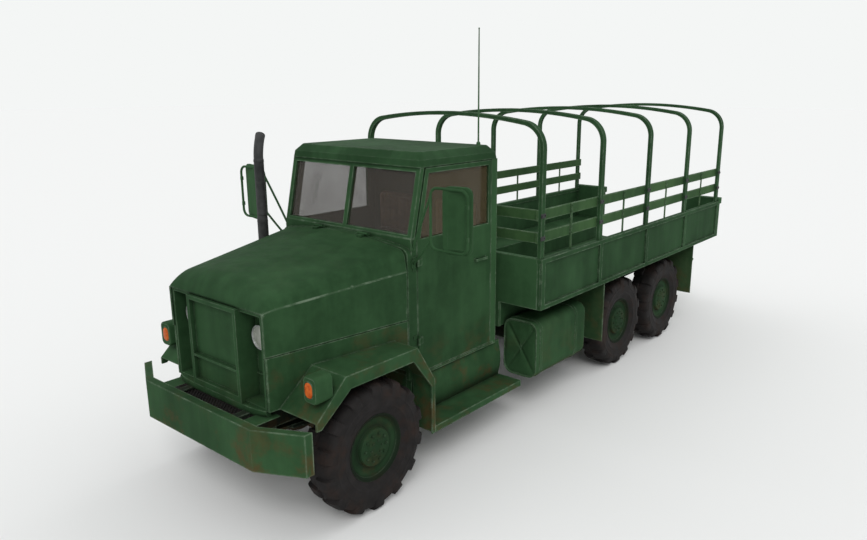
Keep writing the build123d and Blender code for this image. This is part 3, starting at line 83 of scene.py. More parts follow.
class NodeKit:
    def __init__(self, tree):
        self.tree = tree

    def feed(self, socket, value):
        if hasattr(value, "is_output"):
            self.tree.links.new(value, socket)
        else:
            socket.default_value = value

    def add(self, kind, settings=None, **inputs):
        node = self.tree.nodes.new("ShaderNode" + kind)
        for key, value in (settings or {}).items():
            setattr(node, key, value)
        for key, value in inputs.items():
            self.feed(node.inputs[key], value)
        return node

    def maths(self, operation, *values):
        node = self.add("Math", {"operation": operation})
        for socket, value in zip(node.inputs, values):
            self.feed(socket, value)
        return node.outputs[0]

    def times(self, first, second):
        return self.maths("MULTIPLY", first, second)

    def plus(self, first, second):
        return self.maths("ADD", first, second)

    def most(self, first, second):
        return self.maths("MAXIMUM", first, second)

    def point(self, scale=(1, 1, 1)):
        place = self.add("TexCoord").outputs["Object"]
        return self.add("Mapping", Vector=place, Scale=scale).outputs["Vector"]

    def noise(self, point, scale, detail=4.0, roughness=0.55):
        node = self.add("TexNoise", Vector=point, Scale=scale, Detail=detail, Roughness=roughness)
        return node.outputs["Fac"]

    def ramp(self, value, low, high, toLow=0.0, toHigh=1.0):
        settings = {"clamp": True, "interpolation_type": "SMOOTHSTEP"}
        limits = {"From Min": low, "From Max": high, "To Min": toLow, "To Max": toHigh}
        return self.add("MapRange", settings, Value=value, **limits).outputs["Result"]

    def blend(self, share, first, second):
        node = self.add("Mix", {"data_type": "RGBA"})
        for index, value in ((0, share), (6, first), (7, second)):
            self.feed(node.inputs[index], value)
        return node.outputs[2]

    def bump(self, strength, distance, height):
        return self.add("Bump", Strength=strength, Distance=distance, Height=height).outputs["Normal"]


def startMaterial(name):
    material = bpy.data.materials.new(name)
    material.use_nodes = True
    return material, NodeKit(material.node_tree), material.node_tree.nodes["Principled BSDF"].inputs


# Lamps and floor

studio = {
    "floorColour": (0.80, 0.80, 0.79, 1),
    "floorHalf": 120,
    "worldColour": (0.97, 0.99, 1.0, 1),
    "worldStrength": 0.73,
    "seenColour": (0.905, 0.921, 0.913, 1),     # the pale background that the camera, gloss and glass see
    # name, direction that it shines from, strength, width in degrees
    "suns": [
        ("keySun", (5.5, -6.0, 7.5), 1.15, 28),
        ("sideSun", (-7.0, -3.0, 6.0), 0.30, 50),
        ("rearSun", (2.0, 8.0, 6.5), 0.60, 50),
    ],
}


def addStudio(values):
    half = values["floorHalf"]
    corners = [(-half, -half, 0), (half, -half, 0), (half, half, 0), (-half, half, 0)]
    mesh = bpy.data.meshes.new("floor")
    mesh.from_pydata(corners, [], [(0, 1, 2, 3)])
    floor = bpy.data.objects.new("floor", mesh)
    scene.collection.objects.link(floor)
    material, kit, shader = startMaterial("floorPaint")
    shader["Base Color"].default_value = values["floorColour"]
    shader["Roughness"].default_value = 0.9
    shader["Specular IOR Level"].default_value = 0.0
    mesh.materials.append(material)
    scene.world = bpy.data.worlds.new("studioWorld")
    scene.world.use_nodes = True
    kit = NodeKit(scene.world.node_tree)
    light = kit.tree.nodes["Background"]
    light.inputs["Color"].default_value = values["worldColour"]
    light.inputs["Strength"].default_value = values["worldStrength"]
    seen = kit.add("Background", Color=values["seenColour"])
    ray = kit.add("LightPath").outputs
    path = kit.most(kit.most(ray["Is Camera Ray"], ray["Is Glossy Ray"]), ray["Is Transmission Ray"])
    mix = kit.add("MixShader", Fac=path)
    kit.feed(mix.inputs[1], light.outputs[0])
    kit.feed(mix.inputs[2], seen.outputs[0])
    kit.feed(kit.tree.nodes["World Output"].inputs["Surface"], mix.outputs[0])
    for name, source, strength, width in values["suns"]:
        data = bpy.data.lights.new(name, "SUN")
        data.energy = strength
        data.angle = math.radians(width)
        lamp = bpy.data.objects.new(name, data)
        scene.collection.objects.link(lamp)
        lamp.rotation_euler = (-Vector(source)).to_track_quat("-Z", "Y").to_euler()


addStudio(studio)
print("camera and studio placed")


# Finishes

paint = {
    "light": (0.036, 0.09, 0.037, 1),
    "dark": (0.015, 0.042, 0.016, 1),
    "worn": (0.17, 0.23, 0.16, 1),
    "rust": (0.08, 0.042, 0.016, 1),
    "dust": (0.048, 0.086, 0.038, 1),
    # colour of the painted shade laid in inside corners and marked hollows
    "paintedShade": (0.0085, 0.016, 0.008, 1),
    "rustTop": 1.35,        # metres above the floor where the rust tint has faded out
    "edgeWidth": 0.02,
    "cornerReach": 0.07,    # metres over which inside corners are darkened by painted shade
    "rub": 1.0,             # how strongly the edges are rubbed pale
    "under": 0.45,          # rust tint of faces that look down
    "trim": (0.085, 0.07, 0.042, 1),      # the olive-brown lining inside the cab
    "trimLow": (-0.805, frontAxle + 0.733, 0.985),
    "trimHigh": (0.805, frontAxle + 1.884, 2.822),
}


def edgeWear(kit, width, low, high):
    # How far a rounded normal leans from the true one: near 1 on an edge, 0 on a flat
    dot = kit.add("VectorMath", {"operation": "DOT_PRODUCT"})
    kit.feed(dot.inputs[0], kit.add("Bevel", {"samples": 4}, Radius=width).outputs["Normal"])
    kit.feed(dot.inputs[1], kit.add("NewGeometry").outputs["Normal"])
    return kit.ramp(kit.maths("SUBTRACT", 1.0, dot.outputs["Value"]), low, high)


def insideBox(kit, point, low, high):
    # 1 where the point lies within the box, 0 outside it
    separate = kit.add("SeparateXYZ", Vector=point)
    share = 1.0
    for axis, start, end in zip("XYZ", low, high):
        offset = kit.maths("ABSOLUTE", kit.maths("SUBTRACT", separate.outputs[axis], (start + end) / 2))
        share = kit.times(kit.maths("LESS_THAN", offset, (end - start) / 2), share)
    return share


def greenPaint(name, rustShare, lift, lined, changes):
    values = {**paint, **changes}
    material, kit, shader = startMaterial(name)
    point = kit.point()
    # Green in broad patches, upright streaks and a fine mottle
    patches = kit.ramp(kit.noise(point, 1.3, 3), 0.36, 0.66)
    streaks = kit.ramp(kit.noise(kit.point((1, 1, 0.16)), 7.0, 5), 0.35, 0.70)
    mottle = kit.ramp(kit.noise(point, 16.0, 6), 0.30, 0.75)
    share = kit.plus(kit.times(patches, 0.45), kit.times(streaks, 0.25))
    share = kit.plus(kit.plus(share, kit.times(mottle, 0.20)), lift)
    colour = kit.blend(share, values["dark"], values["light"])

    # Rust in blotches low down and on faces that look down, then dust on faces that look up
    height = kit.ramp(kit.add("SeparateXYZ", Vector=point).outputs["Z"], 0.35, values["rustTop"], 1.0, 0.0)
    blotch = kit.ramp(kit.noise(point, 2.9, 6, 0.68), 0.47, 0.66)
    facing = kit.add("SeparateXYZ", Vector=kit.add("NewGeometry").outputs["Normal"]).outputs["Z"]
    below = kit.ramp(kit.times(facing, -1.0), 0.2, 0.9, 0.0, values["under"])
    rust = kit.most(kit.times(kit.times(height, blotch), 0.70 * rustShare), kit.times(below, height))
    colour = kit.blend(rust, colour, values["rust"])
    settled = kit.ramp(kit.noise(point, 4.2, 6, 0.6), 0.42, 0.78)
    dust = kit.times(kit.times(kit.ramp(facing, 0.55, 1.0), settled), 0.16)
    colour = kit.blend(dust, colour, values["dust"])

    # Painted shade, dark in the hollows: where the piece says so, and in every inside corner that the ambient
    # occlusion finds
    openness = kit.add("AmbientOcclusion", {"samples": 4}, Distance=values["cornerReach"]).outputs["AO"]
    corner = kit.ramp(openness, 0.30, 0.85, 1.0, 0.0)
    paintedShade = kit.times(kit.add("Attribute", {"attribute_name": "paintedShade"}).outputs["Fac"], 0.8)
    colour = kit.blend(kit.most(paintedShade, kit.times(corner, 0.55)), colour, values["paintedShade"])

    # Rubbed pale on the edges, and along a crease where the piece says so, broken up along the truck
    edge = edgeWear(kit, values["edgeWidth"], 0.01, 0.12)
    broken = kit.ramp(kit.noise(point, 9.0, 6, 0.7), 0.44, 0.60)
    wear = kit.times(edge, kit.plus(kit.times(broken, 0.55 * values["rub"]), 0.20 * values["rub"]))
    wear = kit.times(wear, kit.maths("SUBTRACT", 1.0, corner))
    rubbed = kit.add("Attribute", {"attribute_name": "wear"}).outputs["Fac"]
    dashes = kit.ramp(kit.noise(kit.point((1, 0.3, 1)), 11.0, 5, 0.7), 0.44, 0.62, 0.12, 0.80)
    line = kit.times(kit.ramp(rubbed, 0.68, 0.97), dashes)
    spots = kit.ramp(kit.noise(point, 6.5, 4, 0.6), 0.56, 0.68, 0.0, 0.55)
    spots = kit.times(kit.ramp(rubbed, 0.15, 0.85), spots)
    wear = kit.most(wear, kit.most(line, spots))
    colour = kit.blend(wear, colour, values["worn"])
    if lined:
        shade = [part * 0.7 for part in values["trim"][:3]] + [1]
        inner = insideBox(kit, point, values["trimLow"], values["trimHigh"])
        colour = kit.blend(inner, colour, kit.blend(mottle, shade, values["trim"]))
    kit.feed(shader["Base Color"], colour)

    rough = kit.plus(kit.times(mottle, 0.14), 0.66)
    kit.feed(shader["Roughness"], kit.maths("SUBTRACT", rough, kit.times(wear, 0.12)))
    shader["Specular IOR Level"].default_value = 0.06
    grain, dents = kit.noise(point, 190.0, 3), kit.noise(point, 3.2, 2)
    surface = kit.plus(kit.times(grain, 0.04), kit.times(dents, 0.6))
    kit.feed(shader["Normal"], kit.bump(0.30, 0.004, surface))
    return material


rubber = {
    "tread": (0.0095, 0.0085, 0.0082, 1),
    "side": (0.0155, 0.0136, 0.0134, 1),
    "mud": (0.034, 0.02, 0.015, 1),
    "mudShare": 0.5,
}


def tyreRubber(name, values):
    # Worn rubber, with dried mud caked on it in patches
    material, kit, shader = startMaterial(name)
    point = kit.point()
    mottle = kit.ramp(kit.noise(point, 11.0, 6), 0.32, 0.72)
    colour = kit.blend(mottle, values["tread"], values["side"])
    caked = kit.ramp(kit.noise(point, 5.0, 7, 0.62), 0.44, 0.70)
    colour = kit.blend(kit.times(caked, values["mudShare"]), colour, values["mud"])
    kit.feed(shader["Base Color"], colour)
    kit.feed(shader["Roughness"], kit.plus(kit.times(caked, 0.15), 0.72))
    shader["Specular IOR Level"].default_value = 0.15
    kit.feed(shader["Normal"], kit.bump(0.35, 0.003, kit.noise(point, 120.0, 4)))
    return material


def plainFinish(name, light, dark, roughness, metallic=0.0, scale=14.0, bumpDepth=0.001, specular=0.3):
    # Two near shades mixed by a fine noise, with roughness that varies the same way
    material, kit, shader = startMaterial(name)
    point = kit.point()
    mottle = kit.ramp(kit.noise(point, scale, 6), 0.30, 0.72)
    kit.feed(shader["Base Color"], kit.blend(mottle, dark, light))
    kit.feed(shader["Roughness"], kit.plus(kit.times(mottle, 0.14), roughness))
    shader["Metallic"].default_value = metallic
    shader["Specular IOR Level"].default_value = specular
    kit.feed(shader["Normal"], kit.bump(0.3, bumpDepth, kit.noise(point, scale * 9, 3)))
    return material


def clearPane(name, tint, haze):
    # Window glass with a thin uneven film of dust
    material, kit, shader = startMaterial(name)
    film = kit.ramp(kit.noise(kit.point(), 3.0, 5), 0.35, 0.75, haze * 0.8, haze)
    shader["Base Color"].default_value = tint
    shader["Roughness"].default_value = 0.06
    kit.feed(shader["Alpha"], film)
    shader["Specular IOR Level"].default_value = 0.3
    return material


# Share of rust, lift of the green, whether lined inside the cab, and what differs from the common paint
greens = {
    "greenBody": (1.0, 0.0, False, {}),
    "greenCab": (1.0, 0.0, True, {}),
    "greenRoof": (1.0, -0.22, True, {"rub": 0.5, "trimLow": (-0.805, frontAxle + 0.868, 2.7)}),
    "greenDoor": (1.5, 0.0, True, {}),
    # Lifted paler as painted light, against the shade that falls between the cab and the bed
    "greenBack": (0.3, 0.55, True, {}),
    "greenBed": (0.5, -0.12, False, {}),
    # Lifted paler as painted light, against the shade that falls between the cab and the bed
    "greenWall": (0.3, 0.5, False, {}),
    "greenFloor": (0.12, -0.04, False, {"edgeWidth": 0.012}),
    "greenTank": (0.25, -0.06, False, {}),
    "greenStep": (0.8, 0.0, False, {}),
    "greenFender": (1.1, 0.0, False, {"rustTop": 2.1, "under": 0.8}),
    "greenGrille": (0.6, 0.05, False, {"edgeWidth": 0.011, "rub": 0.7}),
    "greenSmall": (0.6, 0.0, False, {"edgeWidth": 0.005, "rub": 0.5}),
    "greenBright": (0.3, 0.28, False, {}),
    "greenPlate": (0.2, 0.2, False, {"edgeWidth": 0.004, "rub": 0.25, "cornerReach": 0.02}),
    "greenCap": (0.3, 0.3, False, {}),
    "greenRamp": (0.06, 0.62, False, {"light": (0.047, 0.108, 0.046, 1), "rub": 1.4}),
    "greenSlat": (0.3, 0.3, False, {"light": (0.047, 0.1, 0.037, 1)}),
    "greenLow": (1.4, 0.0, False, {}),
    "underPaint": (1.4, 0.0, False, {"light": (0.02, 0.028, 0.019, 1), "dark": (0.01, 0.014, 0.01, 1)}),
    "flapRubber": (0.7, 0.0, False, {"light": (0.048, 0.082, 0.036, 1)}),
    "wheelGreen": (0.4, -0.1, False, {
        "light": (0.029, 0.066, 0.03, 1), "dark": (0.012, 0.031, 0.013, 1),
        # the colour of the wheel's painted shade
        "edgeWidth": 0.006, "rub": 0.3, "paintedShade": (0.0055, 0.007, 0.005, 1),
    }),
}
# Light and dark shade, roughness, metallic, scale of the grain, depth of the bump in metres, specular
plains = {
    "stackMetal": ((0.046, 0.047, 0.047, 1), (0.02, 0.021, 0.021, 1), 0.6, 0.2),
    "cabPlastic": ((0.062, 0.034, 0.025, 1), (0.034, 0.019, 0.015, 1), 0.45),
    "seatCloth": ((0.33, 0.185, 0.115, 1), (0.22, 0.118, 0.072, 1), 0.8, 0.0, 30.0),
    # mirrorFace: a pale flat colour, a painted reflection standing in for the mirror's own
    "mirrorFace": ((0.62, 0.57, 0.49, 1), (0.57, 0.52, 0.45, 1), 0.25, 0.1, 4.0, 0.0002),
    "meshSteel": ((0.0085, 0.0065, 0.0055, 1), (0.004, 0.0032, 0.003, 1), 0.7, 0.1, 20.0),
    "lampRing": ((0.42, 0.43, 0.42, 1), (0.3, 0.31, 0.3, 1), 0.3, 0.5),
    "lampGlass": ((0.3, 0.31, 0.27, 1), (0.22, 0.23, 0.2, 1), 0.2),
    "orangeLens": ((0.56, 0.125, 0.018, 1), (0.38, 0.062, 0.008, 1), 0.3, 0.0, 30.0, 0.001, 0.12),
    "redLens": ((0.34, 0.026, 0.01, 1), (0.22, 0.014, 0.006, 1), 0.3, 0.0, 30.0, 0.001, 0.12),
}
# Tint, and the share of light that the dust holds back
panes = {
    "paneGlass": ((0.064, 0.056, 0.046, 1), 0.42),
    "sideGlass": ((0.088, 0.07, 0.038, 1), 0.46),
}
finishes = {name: greenPaint(name, *row) for name, row in greens.items()}
finishes.update({name: plainFinish(name, *row) for name, row in plains.items()})
finishes.update({name: clearPane(name, *row) for name, row in panes.items()})
finishes["tyreFinish"] = tyreRubber("tyreFinish", rubber)

slotFinish = {
    "body_paint": "greenBody", "frame_paint": "underPaint", "wheel_paint": "greenLow", "tyre": "tyreFinish",
    "glass": "paneGlass", "seat_cover": "seatCloth", "cab_plastic": "cabPlastic", "dark_metal": "stackMetal",
    "rubber": "flapRubber", "headlamp_glass": "lampGlass", "orange_lens": "orangeLens", "red_lens": "redLens",
}
nodeFinish = {
    "bed_bows": "greenLow", "side_racks": "greenSlat", "front_rack": "greenSlat", "loading_ramp": "greenRamp",
    "mirrors": "greenBody", "antenna": "greenBody", "front_bumper": "greenLow", "turn_lamps": "orangeLens",
    "door_glass_left": "sideGlass", "door_glass_right": "sideGlass", "cab_floor": "greenCab",
    "cab_cowl": "greenCab", "door_left": "greenDoor", "door_right": "greenDoor", "cab_roof": "greenRoof",
    "cab_back": "greenBack", "front_fenders": "greenFender", "side_steps": "greenStep",
    "bed_floor": "greenFloor", "bed_front_wall": "greenWall", "bed_sides": "greenBed",
    "grille_shell": "greenGrille", "rear_panels": "greenCap", "door_hinges": "greenSmall",
    "hood_hinges": "greenSmall",
}
for part in frame["record"]["subparts"]:
    piece = nodes[part["node"]]
    finish = finishes[nodeFinish.get(part["node"], slotFinish[part["material_slot"]])]
    for index in range(len(piece.data.materials)):
        piece.material_slots[index].material = finish
print("finishes given to the solids")


# Shared surfaces. Each gives points and faces; a piece is one or more of them in one mesh

# Where a shape's own X, Y and Z point. A turned shape lies along its X, a cushioned one along its Z
turnedUp = ((0, 0, 1), (1, 0, 0), (0, 1, 0))
turnedAhead = ((0, -1, 0), (1, 0, 0), (0, 0, 1))
turnedBack = ((0, 1, 0), (1, 0, 0), (0, 0, 1))
plateAhead = ((1, 0, 0), (0, 0, 1), (0, -1, 0))
plateBack = ((1, 0, 0), (0, 0, 1), (0, 1, 0))


def at(x, y, z, side=1):
    # A place on one side of the truck, with y measured back from the front axle
    return np.array([side * x, frontAxle + y, z])


def bell(distance, width):
    # 1 in the middle, falling off to both sides as exp(-(distance / width)^2)
    return np.exp(-(distance / width) ** 2)


def gridFaces(rows, columns, closeRows=False, closeColumns=False):
    # Quads from each grid point to its neighbours in the next row and column, wrapping round a closed side
    row = np.arange(rows if closeRows else rows - 1)[:, None]
    column = np.arange(columns if closeColumns else columns - 1)[None, :]
    here, after = row * columns, (row + 1) % rows * columns
    nextColumn = (column + 1) % columns
    corners = (here + column, after + column, after + nextColumn, here + nextColumn)
    return np.stack(np.broadcast_arrays(*corners), -1).reshape(-1, 4)


def stacked(rings):
    # Closed rings laid one after another along a body, with a middle point closing each end
    rings = np.asarray(rings, float)
    count, size = rings.shape[:2]
    points, faces = [rings.reshape(-1, 3)], [gridFaces(count, size, closeColumns=True)]
    for end, index in enumerate((0, count - 1)):
        points.append(rings[index].mean(0)[None])
        ring = index * size + np.arange(size)
        faces.append(np.stack([np.full(size, count * size + end), ring, np.roll(ring, -1)], -1))
    return np.concatenate(points), faces


def turned(profile, steps, closed=False):
    # A profile of (along, radius) carried round the X axis: (along, radius sin t, radius cos t)
    profile = np.asarray(profile, float)
    angle = np.arange(steps) * 2 * np.pi / steps
    along = np.repeat(profile[:, :1], steps, 1)
    rings = np.stack([along, profile[:, 1:] * np.sin(angle), profile[:, 1:] * np.cos(angle)], -1)
    if closed:
        return rings.reshape(-1, 3), [gridFaces(len(profile), steps, True, True)]
    return stacked(rings)


def roundedOutline(halfWidth, halfHeight, radius, steps=6):
    # A rectangle with quarter circles for corners: each corner's centre plus radius (cos a, sin a)
    quarter = np.arange(4)[:, None]
    angle = (quarter + np.linspace(0, 1, steps + 1)[None]) * np.pi / 2
    signX = np.array([1, -1, -1, 1])[:, None]
    signY = np.array([1, 1, -1, -1])[:, None]
    across = signX * (halfWidth - radius) + radius * np.cos(angle)
    up = signY * (halfHeight - radius) + radius * np.sin(angle)
    return np.stack([across.ravel(), up.ravel()], -1)


def cushioned(halfWidth, halfHeight, radius, layers, steps=6):
    # A rounded rectangle carried along Z through (height, inset) layers, each drawn in by its inset
    rings = []
    for height, inset in layers:
        outline = roundedOutline(halfWidth - inset, halfHeight - inset, max(radius - inset, 0.0005), steps)
        rings.append(np.column_stack([outline, np.full(len(outline), height)]))
    return stacked(rings)


def squareTo(path, up, closed=False):
    # Two directions square to a path at each of its points: out to the side, and away from the path
    run = np.roll(path, -1, 0) - np.roll(path, 1, 0) if closed else np.gradient(path, axis=0)
    run /= np.linalg.norm(run, axis=1)[:, None]
    side = np.cross(run, up)
    side /= np.linalg.norm(side, axis=1)[:, None]
    return side[:, None], np.cross(side, run)[:, None]


def carried(path, outline, up, closed=False):
    # An outline of (side, up) carried along a path, its side square to the path and to the given up
    path = np.asarray(path, float)
    side, rise = squareTo(path, up, closed)
    rings = path[:, None] + outline[None, :, :1] * side + outline[None, :, 1:] * rise
    if closed:
        return rings.reshape(-1, 3), [gridFaces(len(path), len(outline), True, True)]
    return stacked(rings)


def pipe(path, radii, up, steps=20, bore=0.0, depth=0):
    # Circles of the given radii square to a path. A bore turns back inside the far end, depth points deep
    side, rise = squareTo(path, up)
    order = np.concatenate([np.arange(len(path)), np.arange(len(path))[::-1][:depth]])
    sizes = np.concatenate([np.broadcast_to(radii, len(path)), np.full(depth, bore)])[:, None, None]
    ring = ringOutline(1.0, steps)
    circles = ring[:, :1] * side[order] + ring[:, 1:] * rise[order]
    return stacked(path[order][:, None] + sizes * circles)


def ringOutline(radius, steps=10):
    # A circle of (side, up) points
    angle = np.arange(steps) * 2 * np.pi / steps
    return radius * np.stack([np.cos(angle), np.sin(angle)], -1)


def moved(shape, origin, across=(1, 0, 0), along=(0, 1, 0), up=(0, 0, 1)):
    # A shape's own X, Y and Z laid along three directions, from an origin
    points, faces = shape
    return np.asarray(origin, float) + points @ np.array([across, along, up], float), faces


def stamped(shape, origins, frames=None):
    # One small shape repeated at many places, each with its own three directions
    points, faces = shape
    origins = np.asarray(origins, float).reshape(-1, 3)
    if frames is None:
        frames = np.broadcast_to(np.eye(3), (len(origins), 3, 3))
    every = origins[:, None] + np.einsum("pk,nkj->npj", points, np.asarray(frames, float))
    shift = (np.arange(len(origins)) * len(points))[:, None, None]
    return every.reshape(-1, 3), [(face[None] + shift).reshape(-1, face.shape[1]) for face in faces]


def outward(shape):
    # Turns every face round where the closed shape's volume, summed over its faces, comes out negative
    points, faces = shape
    volume = 0.0
    for face in faces:
        corner = points[face]
        for index in range(1, face.shape[1] - 1):
            square = np.cross(corner[:, index], corner[:, index + 1])
            volume += np.einsum("ij,ij->i", corner[:, 0], square).sum()
    return shape if volume > 0 else (points, [face[:, ::-1] for face in faces])


def addPiece(
    name, shapes, finish, stands=(), body="chassis", smooth=35, wear=None, paintedShade=None
):
    points, loops, totals, start = [], [], [], 0
    for shape in shapes:
        shapePoints, faces = outward(shape)
        points.append(shapePoints)
        for face in faces:
            loops.append((face + start).ravel())
            totals.append(np.full(len(face), face.shape[1]))
        start += len(shapePoints)
    points, loops, totals = np.concatenate(points), np.concatenate(loops), np.concatenate(totals)
    mesh = bpy.data.meshes.new(name)
    mesh.vertices.add(len(points))
    mesh.vertices.foreach_set("co", points.astype(np.float32).ravel())
    mesh.loops.add(len(loops))
    mesh.loops.foreach_set("vertex_index", loops.astype(np.int32))
    mesh.polygons.add(len(totals))
    mesh.polygons.foreach_set("loop_start", (np.cumsum(totals) - totals).astype(np.int32))
    mesh.update(calc_edges=True)
    mesh.polygons.foreach_set("use_smooth", np.ones(len(totals), bool))
    mesh.set_sharp_from_angle(angle=math.radians(smooth))
    # Per-point marks for the finish: rubbed wear, and painted shade
    for mark, amount in (("wear", wear), ("paintedShade", paintedShade)):
        if amount is not None:
            values = mesh.attributes.new(mark, "FLOAT", "POINT").data
            values.foreach_set("value", amount.astype(np.float32).ravel())
    mesh.materials.append(finishes[finish])
    piece = bpy.data.objects.new(name, mesh)
    scene.collection.objects.link(piece)
    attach(piece, body)
    if stands:
        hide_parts(*stands)
    return piece


def hexNut(radius, height):
    # Rings of a hexagon up to a rounded shoulder, and a round stud end standing out of the middle
    angle = np.arange(12) * np.pi / 6
    flat = radius * np.where(np.arange(12) % 2 == 0, 1, math.cos(math.pi / 6))
    layers = [(0, flat), (0.82, flat), (1.0, flat * 0.86)]
    layers += [(1.0, radius * 0.5), (1.45, radius * 0.48), (1.5, radius * 0.40)]
    rings = []
    for level, size in layers:
        rings.append(np.stack([np.full(12, level * height), size * np.cos(angle), size * np.sin(angle)], -1))
    return stacked(rings)


def boltRow(places, facing, radius=0.011, height=0.009):
    # Six-sided heads standing out along one direction
    facing = np.asarray(facing, float)
    other = np.array([0, 0, 1.0]) if abs(facing[2]) < 0.5 else np.array([0, 1.0, 0])
    frameRows = np.stack([facing, other, np.cross(facing, other)])
    places = np.asarray(places, float).reshape(-1, 3)
    return stamped(hexNut(radius, height), places, np.broadcast_to(frameRows, (len(places), 3, 3)))


# Tyres: straight tread bars, staggered between the two sides

tyre = {
    "x": 0.939,
    "z": 0.56,
    "axles": (("front", 0.0), ("middle", 4.25), ("rear", 5.53)),
    "pitches": 14,
    "edge": 0.035,          # share of a pitch that a bar's sloped side takes
    "gap": 0.03,            # share of a pitch between a bar and the next one on the other side
    # carcass x and radius, then bar x and radius, from the middle of the tread to the bead, in metres
    "profile": [
        (0.0, 0.54, 0.0, 0.54), (0.006, 0.54, 0.006, 0.54), (0.01, 0.5395, 0.014, 0.559),
        (0.018, 0.539, 0.02, 0.56), (0.045, 0.5365, 0.045, 0.56), (0.08, 0.531, 0.08, 0.558),
        (0.108, 0.524, 0.11, 0.553), (0.124, 0.516, 0.129, 0.547), (0.134, 0.505, 0.14, 0.537),
        (0.139, 0.494, 0.147, 0.518), (0.1425, 0.48, 0.1495, 0.496), (0.145, 0.465, 0.149, 0.47),
        (0.1475, 0.452, 0.1485, 0.453), (0.1485, 0.446, 0.1485, 0.446), (0.15, 0.443, 0.15, 0.443),
        (0.15, 0.436, 0.15, 0.436), (0.1485, 0.433, 0.1485, 0.433), (0.149, 0.41, 0.149, 0.41),
        (0.148, 0.385, 0.148, 0.385), (0.145, 0.362, 0.145, 0.362), (0.1462, 0.359, 0.1462, 0.359),
        (0.144, 0.354, 0.144, 0.354), (0.1395, 0.344, 0.1395, 0.344), (0.128, 0.314, 0.128, 0.314),
        (0.118, 0.29, 0.118, 0.29), (0.114, 0.278, 0.114, 0.278), (0.1, 0.2738, 0.1, 0.2738),
        (0.099, 0.258, 0.099, 0.258), (0.09, 0.2566, 0.09, 0.2566),
    ],
}


def tyreSurface(values):
    # Round the axle by u and over the profile by v. A point is carcass + bar(u) (bar - carcass), where
    # bar(u) is a trapezoid that is 1 on one half of each pitch, and on the other half for the other side
    gap, edge = values["gap"] / 2, values["edge"]
    half = np.array([gap, gap + edge, 0.17, 0.33, 0.5 - gap - edge, 0.5 - gap])
    samples = np.concatenate([half, half + 0.5])
    u = (np.arange(values["pitches"])[:, None] + samples).ravel()
    knots = [0, gap, gap + edge, 0.5 - gap - edge, 0.5 - gap, 1]
    barOut = np.interp(u % 1, knots, [0, 0, 1, 1, 0, 0])
    barIn = np.interp((u + 0.5) % 1, knots, [0, 0, 1, 1, 0, 0])
    half = np.array(values["profile"])
    flip = np.array([-1, 1, -1, 1])
    table = np.concatenate([half[::-1], half[1:] * flip])
    bar = np.where(np.arange(len(table))[:, None] < len(half), barOut, barIn)
    x = table[:, :1] + bar * (table[:, 2:3] - table[:, :1])
    radius = table[:, 1:2] + bar * (table[:, 3:] - table[:, 1:2])
    angle = (u - 0.25) * 2 * np.pi / values["pitches"]
    points = np.stack([x, radius * np.sin(angle), radius * np.cos(angle)], -1)
    return points.reshape(-1, 3), [gridFaces(len(table), len(u), True, True)]


# Wheels: a dished disc with a raised hub, a ring of nuts and a centre cap

wheel = {
    "steps": 72,
    "section": [
        (-0.112, 0.242), (-0.112, 0.268), (-0.109, 0.272), (-0.102, 0.272), (-0.0998, 0.268),
        (-0.0985, 0.257), (-0.096, 0.255), (0.096, 0.255), (0.0985, 0.257), (0.0998, 0.268),
        (0.102, 0.2725), (0.113, 0.273),
        (0.1165, 0.2835), (0.118, 0.2862), (0.12, 0.2862), (0.1215, 0.2835), (0.1195, 0.272), (0.112, 0.262),
        (0.098, 0.255), (0.086, 0.248), (0.08, 0.238), (0.0775, 0.22), (0.0765, 0.185), (0.077, 0.176),
        (0.081, 0.17), (0.09, 0.167), (0.106, 0.1615), (0.112, 0.157), (0.1145, 0.149), (0.115, 0.09),
        (0.1175, 0.0845), (0.1215, 0.08), (0.1235, 0.072), (0.124, 0.02), (0.124, 0.0001), (0.095, 0.0001),
        (0.093, 0.046), (-0.06, 0.046), (-0.06, 0.079), (0.02, 0.098), (0.05, 0.16), (0.06, 0.21),
        (0.075, 0.24),
    ],
    # count, circle, face, radius and height of the nuts and of the cap's bolts
    "nuts": (10, 0.118, 0.114, 0.0125, 0.011),
    "bolts": (6, 0.060, 0.1235, 0.008, 0.007),
    "paintedShade": ((0.178, 0.012), (0.236, 0.030)),      # radius and width of the rings of painted shade at drum and rim
}


def ringOfFrames(count, radius, along, start=0.0):
    # Places round the X axis, each with its own Y pointing away from the axis
    angle = start + np.arange(count) * 2 * np.pi / count
    zero, one = np.zeros(count), np.ones(count)
    places = np.stack([np.full(count, along), radius * np.cos(angle), radius * np.sin(angle)], -1)
    frames = np.stack([
        np.stack([one, zero, zero], -1),
        np.stack([zero, np.cos(angle), np.sin(angle)], -1),
        np.stack([zero, -np.sin(angle), np.cos(angle)], -1),
    ], 1)
    return places, frames


def wheelShadeRings(shapes, values):
    # Painted shade: dark rings at the drum's foot and inside the rim's edge, where the drum and the tyre
    # shade the dish, by distance from the axle
    radius = np.concatenate([np.hypot(points[:, 1], points[:, 2]) for points, faces in shapes])
    (foot, footWidth), (rim, rimWidth) = values["paintedShade"]
    return 0.7 * bell(radius - foot, footWidth) + np.clip((radius - rim) / rimWidth, 0, 1)


def wheelShapes(values):
    shapes = [turned(values["section"], values["steps"], closed=True)]
    for key, start in (("nuts", 0.0), ("bolts", 0.2)):
        count, circle, face, radius, height = values[key]
        shapes.append(stamped(hexNut(radius, height), *ringOfFrames(count, circle, face, start)))
    return shapes


